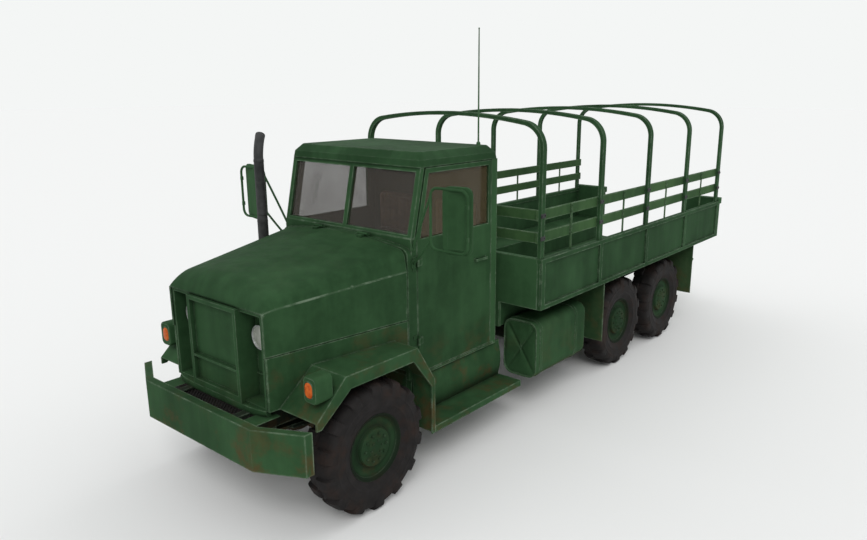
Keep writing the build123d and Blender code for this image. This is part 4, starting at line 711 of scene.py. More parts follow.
wheelSet = [tyreSurface(tyre)] + wheelShapes(wheel)
for axleName, distance in tyre["axles"]:
    for sideName, side in bothSides:
        corner = f"{axleName}_{sideName}"
        place = at(tyre["x"], distance, tyre["z"], side)
        placed = [moved(shape, place, (side, 0, 0), (0, side, 0)) for shape in wheelSet]
        wheelBody = corner + "_wheel"
        name = f"{axleName}.{sideName}"
        addPiece("tyre." + name, placed[:1], "tyreFinish", ["tyre_" + corner], wheelBody, 40)
        # Painted shade in rings round the drum's foot and inside the rim
        shadeAmount = wheelShadeRings(wheelSet[1:], wheel)
        stands = ["wheel_" + corner]
        addPiece("wheel." + name, placed[1:], "wheelGreen", stands, wheelBody, paintedShade=shadeAmount)
print("tyres and wheels made")


# Headlamps: a pale ring and a domed lens with upright flutes, set in the lamp bays

headlamp = {
    "place": (0.465, -0.630, 1.545),        # x, y behind the front axle, z of the ring's front
    "ring": [
        (-0.070, 0.001), (-0.070, 0.060), (-0.050, 0.088), (-0.012, 0.098), (-0.004, 0.0995), (0.0, 0.096),
        (0.001, 0.090), (-0.006, 0.087), (-0.010, 0.086), (-0.012, 0.001),
    ],
    "lens": (0.0868, 0.016, 0.0008, 0.011),     # radius, bulge, depth and width of a flute
    "lensInset": 0.008,
}


def lensDome(radius, bulge, fluteDepth, fluteWidth, rings=14, steps=64):
    # Rings out from the middle: bulge (1 - r^2) forward, plus a row of upright flutes |sin| across the face
    share = np.linspace(0.02, 1, rings)[:, None]
    angle = np.arange(steps) * 2 * np.pi / steps
    across, up = radius * share * np.cos(angle), radius * share * np.sin(angle)
    flutes = fluteDepth * np.abs(np.sin(across / fluteWidth * np.pi)) * (share < 0.98)
    front = np.stack([bulge * (1 - share ** 2) + flutes, across, up], -1)
    back = front[::-1] * (0, 0.98, 0.98) - (0.006, 0, 0)
    return stacked(np.concatenate([front, back[:1], back[-1:]]))


for sideName, side in bothSides:
    place = at(*headlamp["place"], side)
    ring = moved(turned(headlamp["ring"], 64), place, *turnedAhead)
    lens = moved(lensDome(*headlamp["lens"]), place + (0, headlamp["lensInset"], 0), *turnedAhead)
    addPiece(f"headlampRing.{sideName}", [ring], "lampRing")
    addPiece(f"headlampLens.{sideName}", [lens], "lampGlass", ["headlamps"])
print("headlamps made")


# Turn lamps: a green housing with rounded corners and an oval orange lens

turnLamp = {
    "place": (1.000, -0.600, 1.245),
    "half": (0.076, 0.107),
    "corner": 0.044,
    # distance ahead of the housing's face and how far the outline is drawn in
    "housing": [(-0.160, 0.006), (-0.154, 0), (-0.014, 0), (-0.006, 0.002), (-0.001, 0.007), (0, 0.012)],
    "lensHalf": (0.042, 0.062),
    "bezelWidth": 0.008,
    "bezel": [
        (-0.004, 0.0), (0.002, 0.0), (0.0045, 0.0015), (0.0045, 0.005), (0.001, 0.0065), (-0.002, 0.007),
    ],
    "lens": [
        (-0.004, 0.001), (0.002, 0.0), (0.0065, 0.004), (0.0095, 0.010), (0.0115, 0.020), (0.012, 0.034),
    ],
    "lensShift": 0.010,                               # metres inboard of the housing's middle
    "fender": ((-0.622, 1.006), (-0.322, 1.288)),     # y and z of the slope that the housing stands on
    "seat": 0.004,
}


def turnLampShapes(values, side):
    place = at(*values["place"], side)
    housing = moved(cushioned(*values["half"], values["corner"], values["housing"]), place, *plateAhead)
    (y0, z0), (y1, z1) = values["fender"]
    points = housing[0]
    slope = frontAxle + y0 + (points[:, 2] - z0) * (y1 - y0) / (z1 - z0)
    points[:, 1] = np.where(points[:, 2] < z1, np.minimum(points[:, 1], slope + values["seat"]), points[:, 1])
    lensPlace = place - (side * values["lensShift"], 0, 0)
    wide, tall = values["lensHalf"]
    edge = values["bezelWidth"]
    bezel = cushioned(wide + edge, tall + edge, wide + 0.006, values["bezel"])
    lens = cushioned(wide, tall, wide - 0.001, values["lens"])
    return [housing, moved(bezel, lensPlace, *plateAhead)], moved(lens, lensPlace, *plateAhead)


for sideName, side in bothSides:
    housing, lens = turnLampShapes(turnLamp, side)
    addPiece(f"turnLampHousing.{sideName}", housing, "greenGrille", stands=["turn_lamps"])
    addPiece(f"turnLampLens.{sideName}", [lens], "orangeLens")
print("turn lamps made")


# Hood: one pressed sheet, upright at the sides and rolled over at the nose

hood = {
    "front": -0.716,                    # metres behind the front axle
    "rear": 0.635,
    "bottom": 1.440,
    "lip": 1.779,                       # height of the front edge over the grille
    # each pair is at the nose and at the cowl, in metres
    "halfWidth": (0.640, 0.840),
    "top": (1.962, 2.132),
    "crease": (1.797, 1.880),
    "lean": (0.006, 0.018),
    "shoulderWidth": (0.150, 0.100),
    "shoulderHeight": (0.100, 0.085),
    "shoulderTurn": 72.0,
    "crownRise": 0.058,
    "noseLength": 0.17,
    "wall": 0.018,
    "lineWidth": 0.022,                 # half width of the zone rubbed pale along the crease
}


def hoodSurface(values):
    # Rows run back from the nose, columns from the bottom of one side over the top to the other.
    # Each section is an upright side, a lean above the crease, a quarter ellipse and a parabola on top.
    # Heights above the lip are multiplied by sqrt(1 - (1 - d / L)^2) over the first length L of the nose
    length, nose = values["rear"] - values["front"], values["noseLength"]
    roll = nose * (1 - np.cos(np.linspace(0, np.pi / 2, 15)))
    behind = [np.linspace(nose, length - 0.04, 27)[1:], length - np.array([0.028, 0.019, 0.010, 0])]
    back = np.concatenate([roll, *behind])[:, None]

    def along(key):
        return values[key][0] + (values[key][1] - values[key][0]) * back / length

    half, top, crease, lean = along("halfWidth"), along("top"), along("crease"), along("lean")
    wide, tall = along("shoulderWidth"), along("shoulderHeight")
    start = top - values["crownRise"] - tall
    up = np.array([0, 0.015, 0.035, 0.06, 0.1, 0.2, 0.4, 0.6, 0.8, 0.89, 0.94, 0.97, 0.988, 1])[None]
    over = np.array([0.04, 0.1, 0.25, 0.5, 0.75])[None]
    turn = np.linspace(0, math.radians(values["shoulderTurn"]), 13)[None]
    inward = np.linspace(1, 0, 18)[None, 1:]
    shoulderX, shoulderZ = half - lean - wide * (1 - np.cos(turn)), start + tall * np.sin(turn)
    x = [half + 0 * up, half - lean * over, shoulderX, shoulderX[:, -1:] * inward]
    low, width = values["bottom"], values["lineWidth"]
    crown = top - (top - shoulderZ[:, -1:]) * inward ** 2
    z = [low + (crease - low) * up, crease + (start - crease) * over, shoulderZ, crown]
    x, z = np.concatenate(x, 1), np.concatenate(z, 1)
    wear = bell(np.abs(z - crease) + (half - x), width) + bell(z - low, width)
    mark = bell(length - 0.014 - back, 0.014) * bell(z - low - 0.05, 0.06)
    wear = np.maximum(wear, mark) * np.clip(back / 0.03, 0, 1)
    rolled = np.sqrt(1 - np.clip(1 - back / nose, 0, 1) ** 2)
    z = np.where(z > values["lip"], values["lip"] + (z - values["lip"]) * rolled, z)
    both = ((x, -1), (z, 1), (wear, 1))
    x, z, wear = (np.concatenate([part, sign * part[:, -2::-1]], 1) for part, sign in both)
    y = frontAxle + values["front"] + back + 0 * x
    return (np.stack([x, y, z], -1).reshape(-1, 3), [gridFaces(*x.shape)]), wear


hoodShape, hoodWear = hoodSurface(hood)
hoodPanel = addPiece("hoodPanel", [hoodShape], "greenBody", ["hood"], "hood", 50, hoodWear)
sheet = hoodPanel.modifiers.new("sheet", "SOLIDIFY")
sheet.thickness = hood["wall"]
sheet.offset = -1
sheet.use_even_offset = True

hoodHinge = {
    "place": (0.300, 0.6375, 2.144),
    # along the pin and radius
    "barrel": [
        (-0.030, 0.0051), (-0.030, 0.0098), (-0.0288, 0.011), (0.0288, 0.011), (0.030, 0.0098),
        (0.030, 0.0051),
    ],
    "leaf": [(0, 0.001), (0.001, 0), (0.019, 0), (0.020, 0.001)],
    "leafHalf": (0.030, 0.0225),
    "leafShift": (0, 0.0255, 0.0255),
}
knuckles = []
for sideName, side in bothSides:
    pin = at(*hoodHinge["place"], side)
    leaf = cushioned(*hoodHinge["leafHalf"], 0.004, hoodHinge["leaf"])
    knuckles.append(moved(turned(hoodHinge["barrel"], 28, closed=True), pin))
    knuckles.append(moved(leaf, pin - hoodHinge["leafShift"]))
addPiece("hoodKnuckles", knuckles, "greenSmall", body="hood")
print("hood made")


# Mirrors: a domed plate with a pale face, a painted reflection, in a bent tube carried by two arms from the
# cowl

mirror = {
    "place": (1.358, 0.680, 2.366),
    "half": (0.132, 0.278),
    "corner": 0.064,
    "turn": 14.0,                       # degrees that the plate faces in towards the driver
    # distance forward of the middle and how far the edge is drawn in
    "plate": [
        (-0.0170, 0.005), (-0.0165, 0.002), (-0.013, 0.0), (0.004, 0.0), (0.009, 0.002), (0.0125, 0.007),
        (0.0150, 0.018), (0.0163, 0.034), (0.0168, 0.052),
    ],
    "glass": [(-0.0182, 0.016), (-0.0182, 0.0125), (-0.0172, 0.0115), (-0.0160, 0.0115)],
    "loop": (1.294, 0.648, 2.366),
    "loopHalf": (0.194, 0.254),
    "loopCorner": 0.070,
    "tube": 0.012,
    "armTop": 0.184,
    "armBow": 0.006,
    "feet": [(0.846, 0.710, 2.080), (0.846, 0.710, 1.930)],
    "flange": [(-0.006, 0.001), (-0.005, 0), (0.001, 0), (0.002, 0.001)],
    "flangeHalf": (0.024, 0.036),
    "nut": (0.006, 0.006),
    "nutDrop": 0.022,
    # along the tube and radius
    "clamp": [
        (-0.018, 0.011), (-0.018, 0.0155), (-0.016, 0.0165), (0.016, 0.0165), (0.018, 0.0155),
        (0.018, 0.011),
    ],
    "clampInset": 0.0047,
    "clampDrop": 0.13,
}


def mirrorShapes(values, side):
    turn = math.radians(values["turn"])
    sine, cosine = side * math.sin(turn), math.cos(turn)
    plate, glass = (
        moved(
            cushioned(*values["half"], values["corner"], values[key], 8), at(*values["place"], side),
            (cosine, sine, 0), (0, 0, 1), (sine, -cosine, 0),
        )
        for key in ("plate", "glass")
    )
    middle, (loopX, loopY, loopZ) = at(*values["loop"], side), values["loop"]
    outline = roundedOutline(*values["loopHalf"], values["loopCorner"], 9)
    loop = middle + np.column_stack([outline[:, 0], 0 * outline[:, 0], outline[:, 1]])
    shapes = [plate, carried(loop, ringOutline(values["tube"], 14), (0, 1, 0), closed=True)]
    share = np.linspace(0, 1, 9)[:, None]
    for end, foot in zip((1, -1), values["feet"]):
        start = at(loopX - values["loopHalf"][0], loopY, loopZ + end * values["armTop"], side)
        foot = at(*foot, side)
        arm = start + share * (foot - start) + np.sin(share * np.pi) * (0, 0, values["armBow"] * end)
        shapes.append(carried(arm, ringOutline(values["tube"] * 0.9, 12), (0, 1, 0)))
        flange = cushioned(*values["flangeHalf"], 0.012, values["flange"])
        shapes.append(moved(flange, foot, (0, 1, 0), (0, 0, 1), (side, 0, 0)))
        for drop in (-values["nutDrop"], values["nutDrop"]):
            shapes.append(moved(hexNut(*values["nut"]), foot + (0, 0, drop), (side, 0, 0)))
    outer = side * (values["loopHalf"][0] - values["clampInset"])
    for drop in (-values["clampDrop"], values["clampDrop"]):
        shapes.append(moved(turned(values["clamp"], 20), middle + (outer, 0, drop), *turnedUp))
    return shapes, glass


for sideName, side in bothSides:
    mirrorFrame, mirrorGlass = mirrorShapes(mirror, side)
    addPiece(f"mirrorFrame.{sideName}", mirrorFrame, "greenPlate", stands=["mirrors"])
    addPiece(f"mirrorFace.{sideName}", [mirrorGlass], "mirrorFace")
print("mirrors made")


# Exhaust stack: a silencer drum, a bent pipe with a guard sleeve, open at the tip

stack = {
    "place": (-0.905, 0.453),
    "bendPull": 2.845,
    "tip": (-0.979, 0.544, 2.960),
    "radius": 0.045,
    "lip": 0.0012,
    "bore": 0.0415,
    # height and radius, from the foot up the straight run
    "levels": [
        (1.292, 0.043), (1.3, 0.048), (1.352, 0.048), (1.356, 0.041), (1.372, 0.041), (1.392, 0.0495),
        (1.41, 0.0505), (1.422, 0.052), (1.434, 0.0505), (2.13, 0.0505), (2.142, 0.052), (2.154, 0.0505),
        (2.176, 0.0495),
        (2.19, 0.0465), (2.202, 0.0462), (2.204, 0.0488), (2.226, 0.0488), (2.229, 0.047), (2.711, 0.047),
        (2.714, 0.0488), (2.736, 0.0488), (2.738, 0.0462),
    ],
    "foot": [(0.0, 0.002), (0.002, 0.0), (0.010, 0.0), (0.012, 0.002)],
    "footHalf": 0.045,
    "footHeight": 1.289,
    "boltReach": 0.034,
    "boltHeight": 1.3,
}


def stackShapes(values):
    # Straight up, then along a curve (1-t)^2 A + 2 t (1-t) B + t^2 C out to the tip
    levels = np.array(values["levels"])
    straight = at(*values["place"], 0) + levels[:, :1] * (0, 0, 1)
    pull, tip = at(*values["place"], values["bendPull"]), at(*values["tip"])
    t = np.linspace(0, 1, 17)[1:, None]
    bend = (1 - t) ** 2 * straight[-1] + 2 * t * (1 - t) * pull + t ** 2 * tip
    radii = np.concatenate([levels[:, 1], np.full(len(bend), values["radius"])])
    radii[-2:] += values["lip"]
    tube = pipe(np.concatenate([straight, bend]), radii, (1, 0, 0), 40, values["bore"], 14)
    half, reach = values["footHalf"], values["boltReach"]
    foot = moved(cushioned(half, half, 0.010, values["foot"]), at(*values["place"], values["footHeight"]))
    middle = at(*values["place"], values["boltHeight"])
    corners = [middle + (x, y, 0) for x in (-reach, reach) for y in (-reach, reach)]
    return [tube, foot, boltRow(corners, (0, 0, 1), 0.007, 0.006)]


addPiece("exhaustPipe", stackShapes(stack), "stackMetal", ["exhaust_stack"], smooth=40)


# Aerial: a rubber-footed base, a ribbed spring and a tapering whip

aerial = {
    "place": (0.760, 1.725, 2.871),
    # height and radius of the base and of the whip
    "base": [
        (0.0, 0.024), (0.006, 0.024), (0.01, 0.021), (0.026, 0.019), (0.034, 0.017), (0.038, 0.011),
        (0.042, 0.0085),
    ],
    "whip": [
        (0.122, 0.0088), (0.135, 0.0082), (0.5, 0.0072), (0.9, 0.006), (1.044, 0.0052), (1.046, 0.0068),
        (1.052, 0.0074), (1.058, 0.005),
    ],
    "springStart": 0.046,
    "springTurns": 7,
    "springPitch": 0.010,
    "coil": [(0, 0.0075), (0.25, 0.0092), (0.5, 0.0092), (0.75, 0.0075)],     # share of a turn and radius
}
springs = []
for index in range(aerial["springTurns"]):
    for share, radius in aerial["coil"]:
        springs.append((aerial["springStart"] + (index + share) * aerial["springPitch"], radius))
whip = moved(turned(aerial["base"] + springs + aerial["whip"], 20), at(*aerial["place"]), *turnedUp)
addPiece("aerialWhip", [whip], "greenBright", ["antenna"])
print("stack and aerial made")


# Tail lamps: a rounded box under each rear panel with a round red lens in a ring

tailLamp = {
    "place": (0.935, 7.065, 1.176),
    "half": (0.075, 0.050),
    "corner": 0.014,
    "box": [(-0.080, 0.003), (-0.077, 0), (-0.006, 0), (-0.001, 0.003), (0, 0.007)],
    "ring": [
        (-0.004, 0.034), (-0.004, 0.045), (0.004, 0.045), (0.007, 0.0438), (0.007, 0.0412), (0.002, 0.04),
        (0.002, 0.034),
    ],
    "lens": (0.0402, 0.009, 0.0004, 0.006),
}
for sideName, side in bothSides:
    place = at(*tailLamp["place"], side)
    box = moved(cushioned(*tailLamp["half"], tailLamp["corner"], tailLamp["box"]), place, *plateBack)
    ring = moved(turned(tailLamp["ring"], 40, closed=True), place, *turnedBack)
    lens = moved(lensDome(*tailLamp["lens"], 10, 48), place, *turnedBack)
    addPiece(f"tailLampBox.{sideName}", [box, ring], "greenSmall", stands=["tail_lamps"])
    addPiece(f"tailLampLens.{sideName}", [lens], "redLens")
print("tail lamps made")


# Screen between the bumper and the chin: flat strips crossing both ways in a thin frame

screenDeck = {
    "halfWidth": 0.480,
    "front": -0.882,
    "rear": -0.722,
    "z": 0.930,
    "spacing": 0.036,
    "strip": 0.004,            # half width of a strip
    "thickness": 0.004,
    "rim": (0.012, 0.006, 0.002),       # half width, half height and corner radius of the frame
}


def crossStrips(values):
    # Each strip is a thin box along x = a + y or x = a - y, cut where it meets the frame's sides
    half, depth = values["halfWidth"], values["rear"] - values["front"]
    starts = np.arange(-half - depth, half, values["spacing"])
    low, high = np.maximum(0, -half - starts), np.minimum(depth, half - starts)
    keep = high - low > values["strip"] * 2
    starts, low, high = starts[keep], low[keep], high[keep]
    square = np.array([1, -1]) / math.sqrt(2) * values["strip"]
    near, far = np.stack([starts + low, low], -1), np.stack([starts + high, high], -1)
    corners = np.stack([near + square, far + square, far - square, near - square], 1)
    box = np.array([(0, 1, 2, 3), (7, 6, 5, 4), (0, 4, 5, 1), (1, 5, 6, 2), (2, 6, 7, 3), (3, 7, 4, 0)])
    faces = (box[None] + (np.arange(len(corners)) * 8)[:, None, None]).reshape(-1, 4)
    shapes = []
    for flip, lift in ((1, 0.0), (-1, values["thickness"])):
        levels = [np.full(corners.shape[:2] + (1,), lift - height) for height in (0, values["thickness"])]
        points = np.concatenate([np.concatenate([corners * (flip, 1), level], -1) for level in levels], 1)
        shapes.append((points.reshape(-1, 3) + at(0, values["front"], values["z"]), [faces]))
    return shapes


def deckRim(values):
    half, low, high = values["halfWidth"], values["front"], values["rear"]
    path = [at(x, y, values["z"]) for x, y in ((-half, low), (half, low), (half, high), (-half, high))]
    return carried(path, roundedOutline(*values["rim"], 2), (0, 0, 1), closed=True)


addPiece("bumperScreen", crossStrips(screenDeck) + [deckRim(screenDeck)], "meshSteel")

chinLip = {
    "halfWidth": 0.600,
    "turnStart": 0.380,         # where the lip starts to curve back
    "turnBack": 0.034,
    "endRise": 0.018,           # how far its lower part rises at the ends
    "riseBelow": 0.96,
    # y from the front axle and z round the lip's section
    "section": [
        (-0.703, 1.001), (-0.74, 1.001), (-0.743, 0.998), (-0.744, 0.98), (-0.743, 0.956), (-0.738, 0.942),
        (-0.727, 0.931), (-0.712, 0.926), (-0.695, 0.925), (-0.695, 0.953), (-0.703, 0.956),
    ],
}


def chinShape(values):
    # The section carried across the truck; y moves back by turnBack t^2 past the straight middle
    y, z = np.array(values["section"]).T[:, None]
    x = np.linspace(-values["halfWidth"], values["halfWidth"], 61)[:, None]
    share = np.clip((np.abs(x) - values["turnStart"]) / (values["halfWidth"] - values["turnStart"]), 0, 1)
    y = frontAxle + y + values["turnBack"] * share ** 2
    z = z + values["endRise"] * share ** 3 * (z < values["riseBelow"])
    return stacked(np.stack([x + 0 * y, y, z], -1))


shelf = {
    "corners": [(0.495, -0.884), (0.655, -0.884), (0.655, -0.620), (0.495, -0.620)],
    "layers": [(0.944, 0.01), (0.945, 0), (0.949, 0), (0.95, 0.01)],       # height and share drawn in
}


def shelfShape(values, side):
    # A flat plate with its edge rounded over: the outline scaled about its middle at each level
    corners = np.array([at(*corner, 0, side) for corner in values["corners"]])
    middle = corners.mean(0)
    layers = values["layers"]
    return stacked([middle + (corners - middle) * (1 - inset) + (0, 0, level) for level, inset in layers])


addPiece("chinLip", [chinShape(chinLip)], "greenGrille")
for sideName, side in bothSides:
    addPiece(f"bumperShelf.{sideName}", [shelfShape(shelf, side)], "greenLow")
print("bumper screen and chin made")


# Wheel aprons: pressed sheets between the frame and the hood that close the view through the arches

apron = {
    "x": 0.535,
    "y": (-0.530, 0.632),
    "z": (0.958, 1.400),
    "thick": 0.004,
    "ribs": 7,
    "ribDepth": 0.010,
    "fade": 0.06,
}


def apronShape(values, side):
    # x = x0 + d r(y) f(z), where r is a row of rounded ribs and f fades them out at the top and bottom
    (y0, y1), (z0, z1) = values["y"], values["z"]
    y = np.linspace(y0, y1, 99)[None]
    z = np.linspace(z0, z1, 17)[:, None]
    row = np.clip(np.cos((y - y0) / (y1 - y0) * values["ribs"] * 2 * np.pi) * 1.6, -1, 1) * 0.5 + 0.5
    fade = np.clip(np.minimum(z - z0, z1 - z) / values["fade"], 0, 1)
    face = values["x"] + values["ribDepth"] * row * fade * fade * (3 - 2 * fade)
    front = np.stack([face, y + frontAxle + 0 * face, z + 0 * face], -1)
    back = front[:, ::-1] - (values["thick"], 0, 0)
    return stacked(np.concatenate([front, back], 1) * (side, 1, 1))


# Sill panels: rounded boards between the step and the door

sill = {
    "x": (0.800, 0.806),
    "bulge": 0.048,
    "y": (0.706, 2.022),
    "z": (0.492, 0.872),
    # share of the length and share of the bulge, drawn in a little at both ends
    "ends": [
        (0, 0.55), (0.004, 0.8), (0.012, 0.95), (0.03, 1), (0.5, 1), (0.97, 1), (0.988, 0.95), (0.996, 0.8),
        (1, 0.55),
    ],
    "paintedShade": 0.09,              # height over which the painted shade at its foot fades out
}


def sillShape(values, side):
    # Its face stands out by bulge sin(pi t)^0.8 over its height t
    t = np.linspace(0, 1, 25)[None]
    share, full = np.array(values["ends"]).T[:, :, None]
    (x0, x1), (y0, y1), (z0, z1) = values["x"], values["y"], values["z"]
    x = x1 + values["bulge"] * full * np.sin(np.pi * t) ** 0.8
    z = z0 + (z1 - z0) * t + 0 * x
    x = np.concatenate([x, np.full((len(share), 2), x0)], 1)
    z = np.concatenate([z, z[:, -1:], z[:, :1]], 1)
    y = frontAxle + y0 + (y1 - y0) * share + 0 * x
    return stacked(np.stack([side * x, y, z], -1))


splash = {
    "place": (0.634, 0.693, 0.700),
    "half": (0.184, 0.252),
    "corner": 0.030,
    "layers": [
        (-0.005, 0.002), (-0.0035, 0), (0.0025, 0), (0.004, 0.002), (0.004, 0.03), (0.009, 0.042),
        (0.009, 0.06),
    ],
    "bolts": [(-0.160, -0.0035, 0.200), (-0.160, -0.0035, 0.0), (-0.160, -0.0035, -0.200)],
}


def splashShapes(values, side):
    # A plate with a raised middle panel, facing the wheel, and bolts down its inner edge
    place = at(*values["place"], side)
    plate = moved(cushioned(*values["half"], values["corner"], values["layers"]), place, *plateAhead)
    return [plate, boltRow(place + np.array(values["bolts"]) * (side, 1, 1), (0, -1, 0), 0.010, 0.008)]


for sideName, side in bothSides:
    addPiece(f"wheelApron.{sideName}", [apronShape(apron, side)], "underPaint")
    addPiece(f"splashPlate.{sideName}", splashShapes(splash, side), "greenFender")
    sillPanel = sillShape(sill, side)
    # Painted shade along the panel's foot, darkest by the step
    shadeAmount = 0.9 * bell(sillPanel[0][:, 2] - sill["z"][0], sill["paintedShade"])
    addPiece(f"sillPanel.{sideName}", [sillPanel], "greenLow", paintedShade=shadeAmount)
print("wheel aprons and sill panels made")


# Fuel tanks: rounded boxes with rolled end rims, ends pressed like an envelope, two straps and feet

tank = {
    "place": (0.923, 2.250, 0.740),     # middle of its front end
    "length": 1.000,
    "half": (0.207, 0.310),
    "corner": 0.110,
    "around": 112,
    # share of the outline's size and how far in from the end, over the rolled rim
    "rim": [
        (1, 0.03), (1, 0.008), (0.994, 0.002), (0.98, 0.0005), (0.962, 0.002), (0.95, 0.008), (0.94, 0.012),
    ],
    "faceDepth": 0.012,
    "crossDepth": 0.011,
    "crossWidth": 0.019,
    "facetRise": 0.085,
    "straps": (0.070, 0.780),
    # along the tank and out from its skin
    "strapSection": [
        (0.0, -0.002), (0.0, 0.0045), (0.0015, 0.006), (0.0425, 0.006), (0.044, 0.0045), (0.044, -0.002),
    ],
    "footHalf": (0.034, 0.022),
    "foot": [(-0.026, 0.002), (-0.024, 0), (0.004, 0)],
}


def evenOutline(halfWidth, halfHeight, corner, count):
    # A rounded rectangle with its points spread evenly by length
    outline = roundedOutline(halfWidth, halfHeight, corner, 12)
    loop = np.concatenate([outline, outline[:1]])
    length = np.concatenate([[0], np.cumsum(np.linalg.norm(np.diff(loop, axis=0), axis=1))])
    even = np.arange(count) * length[-1] / count
    return np.column_stack([np.interp(even, length, loop[:, axis]) for axis in (0, 1)])


def tankShapes(values, side):
    # End face: base depth, less facetRise times the distance to the nearer diagonal, plus a groove on it
    wide, tall = values["half"]
    base = values["faceDepth"]
    outline = evenOutline(wide, tall, values["corner"], values["around"])
    rim = np.array(values["rim"])
    size = np.concatenate([rim[:, 0], np.linspace(0.92, 0.02, 24)])[:, None]
    x, z = outline[:, 0] * size, outline[:, 1] * size
    near = np.minimum(np.abs(x * tall - z * wide), np.abs(x * tall + z * wide)) / np.hypot(wide, tall)
    deep = base + values["crossDepth"] * bell(near, values["crossWidth"]) - values["facetRise"] * near
    fade = np.clip((0.94 - size) / 0.12, 0, 1)
    depth = base * (1 - fade) + np.maximum(deep, 0.001) * fade
    depth[:len(rim)] = rim[:, 1:]
    end = np.stack([x, depth, z], -1)
    other = end * (1, -1, 1) + (0, values["length"], 0)
    place, flip = at(*values["place"], side), (side, 1, 1)
    shapes = [stacked(np.concatenate([end[::-1], other]) * flip + place)]
    for start in values["straps"]:
        rings = []
        for along, proud in values["strapSection"]:
            band = evenOutline(wide + proud, tall + proud, values["corner"] + proud, values["around"])
            rings.append(np.column_stack([band[:, 0], np.full(len(band), start + along), band[:, 1]]))
        rings = np.array(rings) * flip + place
        shapes.append((rings.reshape(-1, 3), [gridFaces(len(rings), rings.shape[1], True, True)]))
        foot = cushioned(*values["footHalf"], 0.004, values["foot"])
        shapes.append(moved(foot, place + (0, start + values["footHalf"][1], -tall)))
    return shapes


for sideName, side in bothSides:
    addPiece(f"fuelTank.{sideName}", tankShapes(tank, side), "greenTank", stands=["fuel_tanks"], smooth=32)
print("fuel tanks made")


# Clips that hold the side slats to the bows, and bolts through the straps between them

clip = {
    "half": (0.040, 0.022),
    "corner": 0.008,
    "layers": [(-0.002, 0.0), (0.003, 0.0), (0.004, 0.001)],
    "boltReach": 0.027,
    "slats": (1.957, 2.183),            # heights of the slats' middles
    "strapHalf": 0.030,
    "bowHalf": 0.032,
}
bowLow, bowHigh = (np.array(corner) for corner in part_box("bed_bows"))
bowPlaces = np.linspace(bowLow[1] + clip["bowHalf"], bowHigh[1] - clip["bowHalf"], 5)
between = (bowPlaces[:-1] + bowPlaces[1:]) / 2
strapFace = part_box("side_racks")[1][0]
clips, clipBolts, strapBolts = [], [], []
for sideName, side in bothSides:
    outwards = (side, 0, 0)
    places = np.array([(side * bowHigh[0], y, z) for y in bowPlaces for z in clip["slats"]])
    plate = cushioned(*clip["half"], clip["corner"], clip["layers"], 3)
    clips.append(stamped(moved(plate, (0, 0, 0), (0, 1, 0), (0, 0, 1), outwards), places))
    for reach in (-clip["boltReach"], clip["boltReach"]):
        clipBolts.append(boltRow(places + (side * 0.003, reach, 0), outwards, 0.008, 0.006))
    heights = [z + drop for z in clip["slats"] for drop in (-clip["strapHalf"], clip["strapHalf"])]
    strapPlaces = [(side * strapFace, y, z) for y in between for z in heights]
    strapBolts.append(boltRow(strapPlaces, outwards, 0.007, 0.005))
addPiece("slatClips", clips + clipBolts, "stackMetal")
addPiece("strapBolts", strapBolts, "greenSmall")
print("slat clips and bolts made")


# Steering wheel: a grooved rim, three flat spokes and a domed centre

handWheel = {
    "centre": (0.410, 1.010, 2.035),
    "tilt": 40.0,                        # degrees that its face leans back
    "radius": 0.215,
    "rim": 0.015,
    "grips": 36,
    "gripDepth": 0.0018,
    "hub": [
        (-0.045, 0.0), (-0.045, 0.03), (-0.02, 0.042), (0, 0.044), (0.01, 0.04), (0.016, 0.024),
        (0.018, 0.0),
    ],
    "hubRadius": 0.030,
    "spokes": 3,
    "spokeHalf": (0.014, 0.005),
    "sag": 0.022,
}


def handWheelShapes(values):
    # Rim: a circle of radius R + r cos v, with r drawn in by gripDepth on the underside once for each finger
    steps, around = 144, 14
    u = np.arange(steps)[:, None] * 2 * np.pi / steps
    v = np.arange(around)[None] * 2 * np.pi / around
    grip = (0.5 - 0.5 * np.cos(u * values["grips"])) * (0.5 - 0.5 * np.sin(v))
    thick = values["rim"] - values["gripDepth"] * grip
    radius = values["radius"] + thick * np.cos(v)
    rim = np.stack([radius * np.cos(u), radius * np.sin(u), thick * np.sin(v)], -1).reshape(-1, 3)
    hub = moved(turned(values["hub"], 40), (0, 0, 0), *turnedUp)
    shapes = [(rim, [gridFaces(steps, around, True, True)]), hub]
    reach = np.linspace(values["hubRadius"], values["radius"], 9)
    share = (reach - reach[0]) / (reach[-1] - reach[0])
    for index in range(values["spokes"]):
        angle = math.radians(90 + index * 360 / values["spokes"])
        spoke = [reach * math.cos(angle), reach * math.sin(angle), -values["sag"] * np.sin(np.pi * share)]
        shapes.append(carried(np.stack(spoke, -1), ringOutline(1.0, 12) * values["spokeHalf"], (0, 0, 1)))
    tilt = math.radians(values["tilt"])
    leaning = ((1, 0, 0), (0, math.cos(tilt), -math.sin(tilt)), (0, math.sin(tilt), math.cos(tilt)))
    return [moved(shape, at(*values["centre"]), *leaning) for shape in shapes]


handShapes = handWheelShapes(handWheel)
addPiece("steeringWheelRim", handShapes, "cabPlastic", ["steering_wheel"], "hand_wheel")
print("steering wheel made")


# Seats: padded cushions and backs, swollen by a short cloth run and then sewn in channels

seat = {
    "x": 0.400,
    "halfWidth": 0.270,
    "slack": 0.014,         # metres that the pads start inside their space
    "round": 0.05,
    "voxel": 0.009,
    "pressure": 4.0,
    "frames": 20,
    "cap": 0.013,           # farthest that a point may move
    # y and z from and to, which of them lies along the seat, and the side that faces the driver
    "pads": {
        "cushion": ((1.279, 1.759), (1.350, 1.480), 1, (0, 0, 1)),
        "back": ((1.765, 1.881), (1.352, 2.345), 2, (0, -1, 0)),
    },
    "channelDepth": 0.009,
    "channelWidth": 0.007,
    "channels": [-0.16, -0.055, 0.055, 0.16],
    "border": 0.055,        # from the edge to the seam that runs round
}


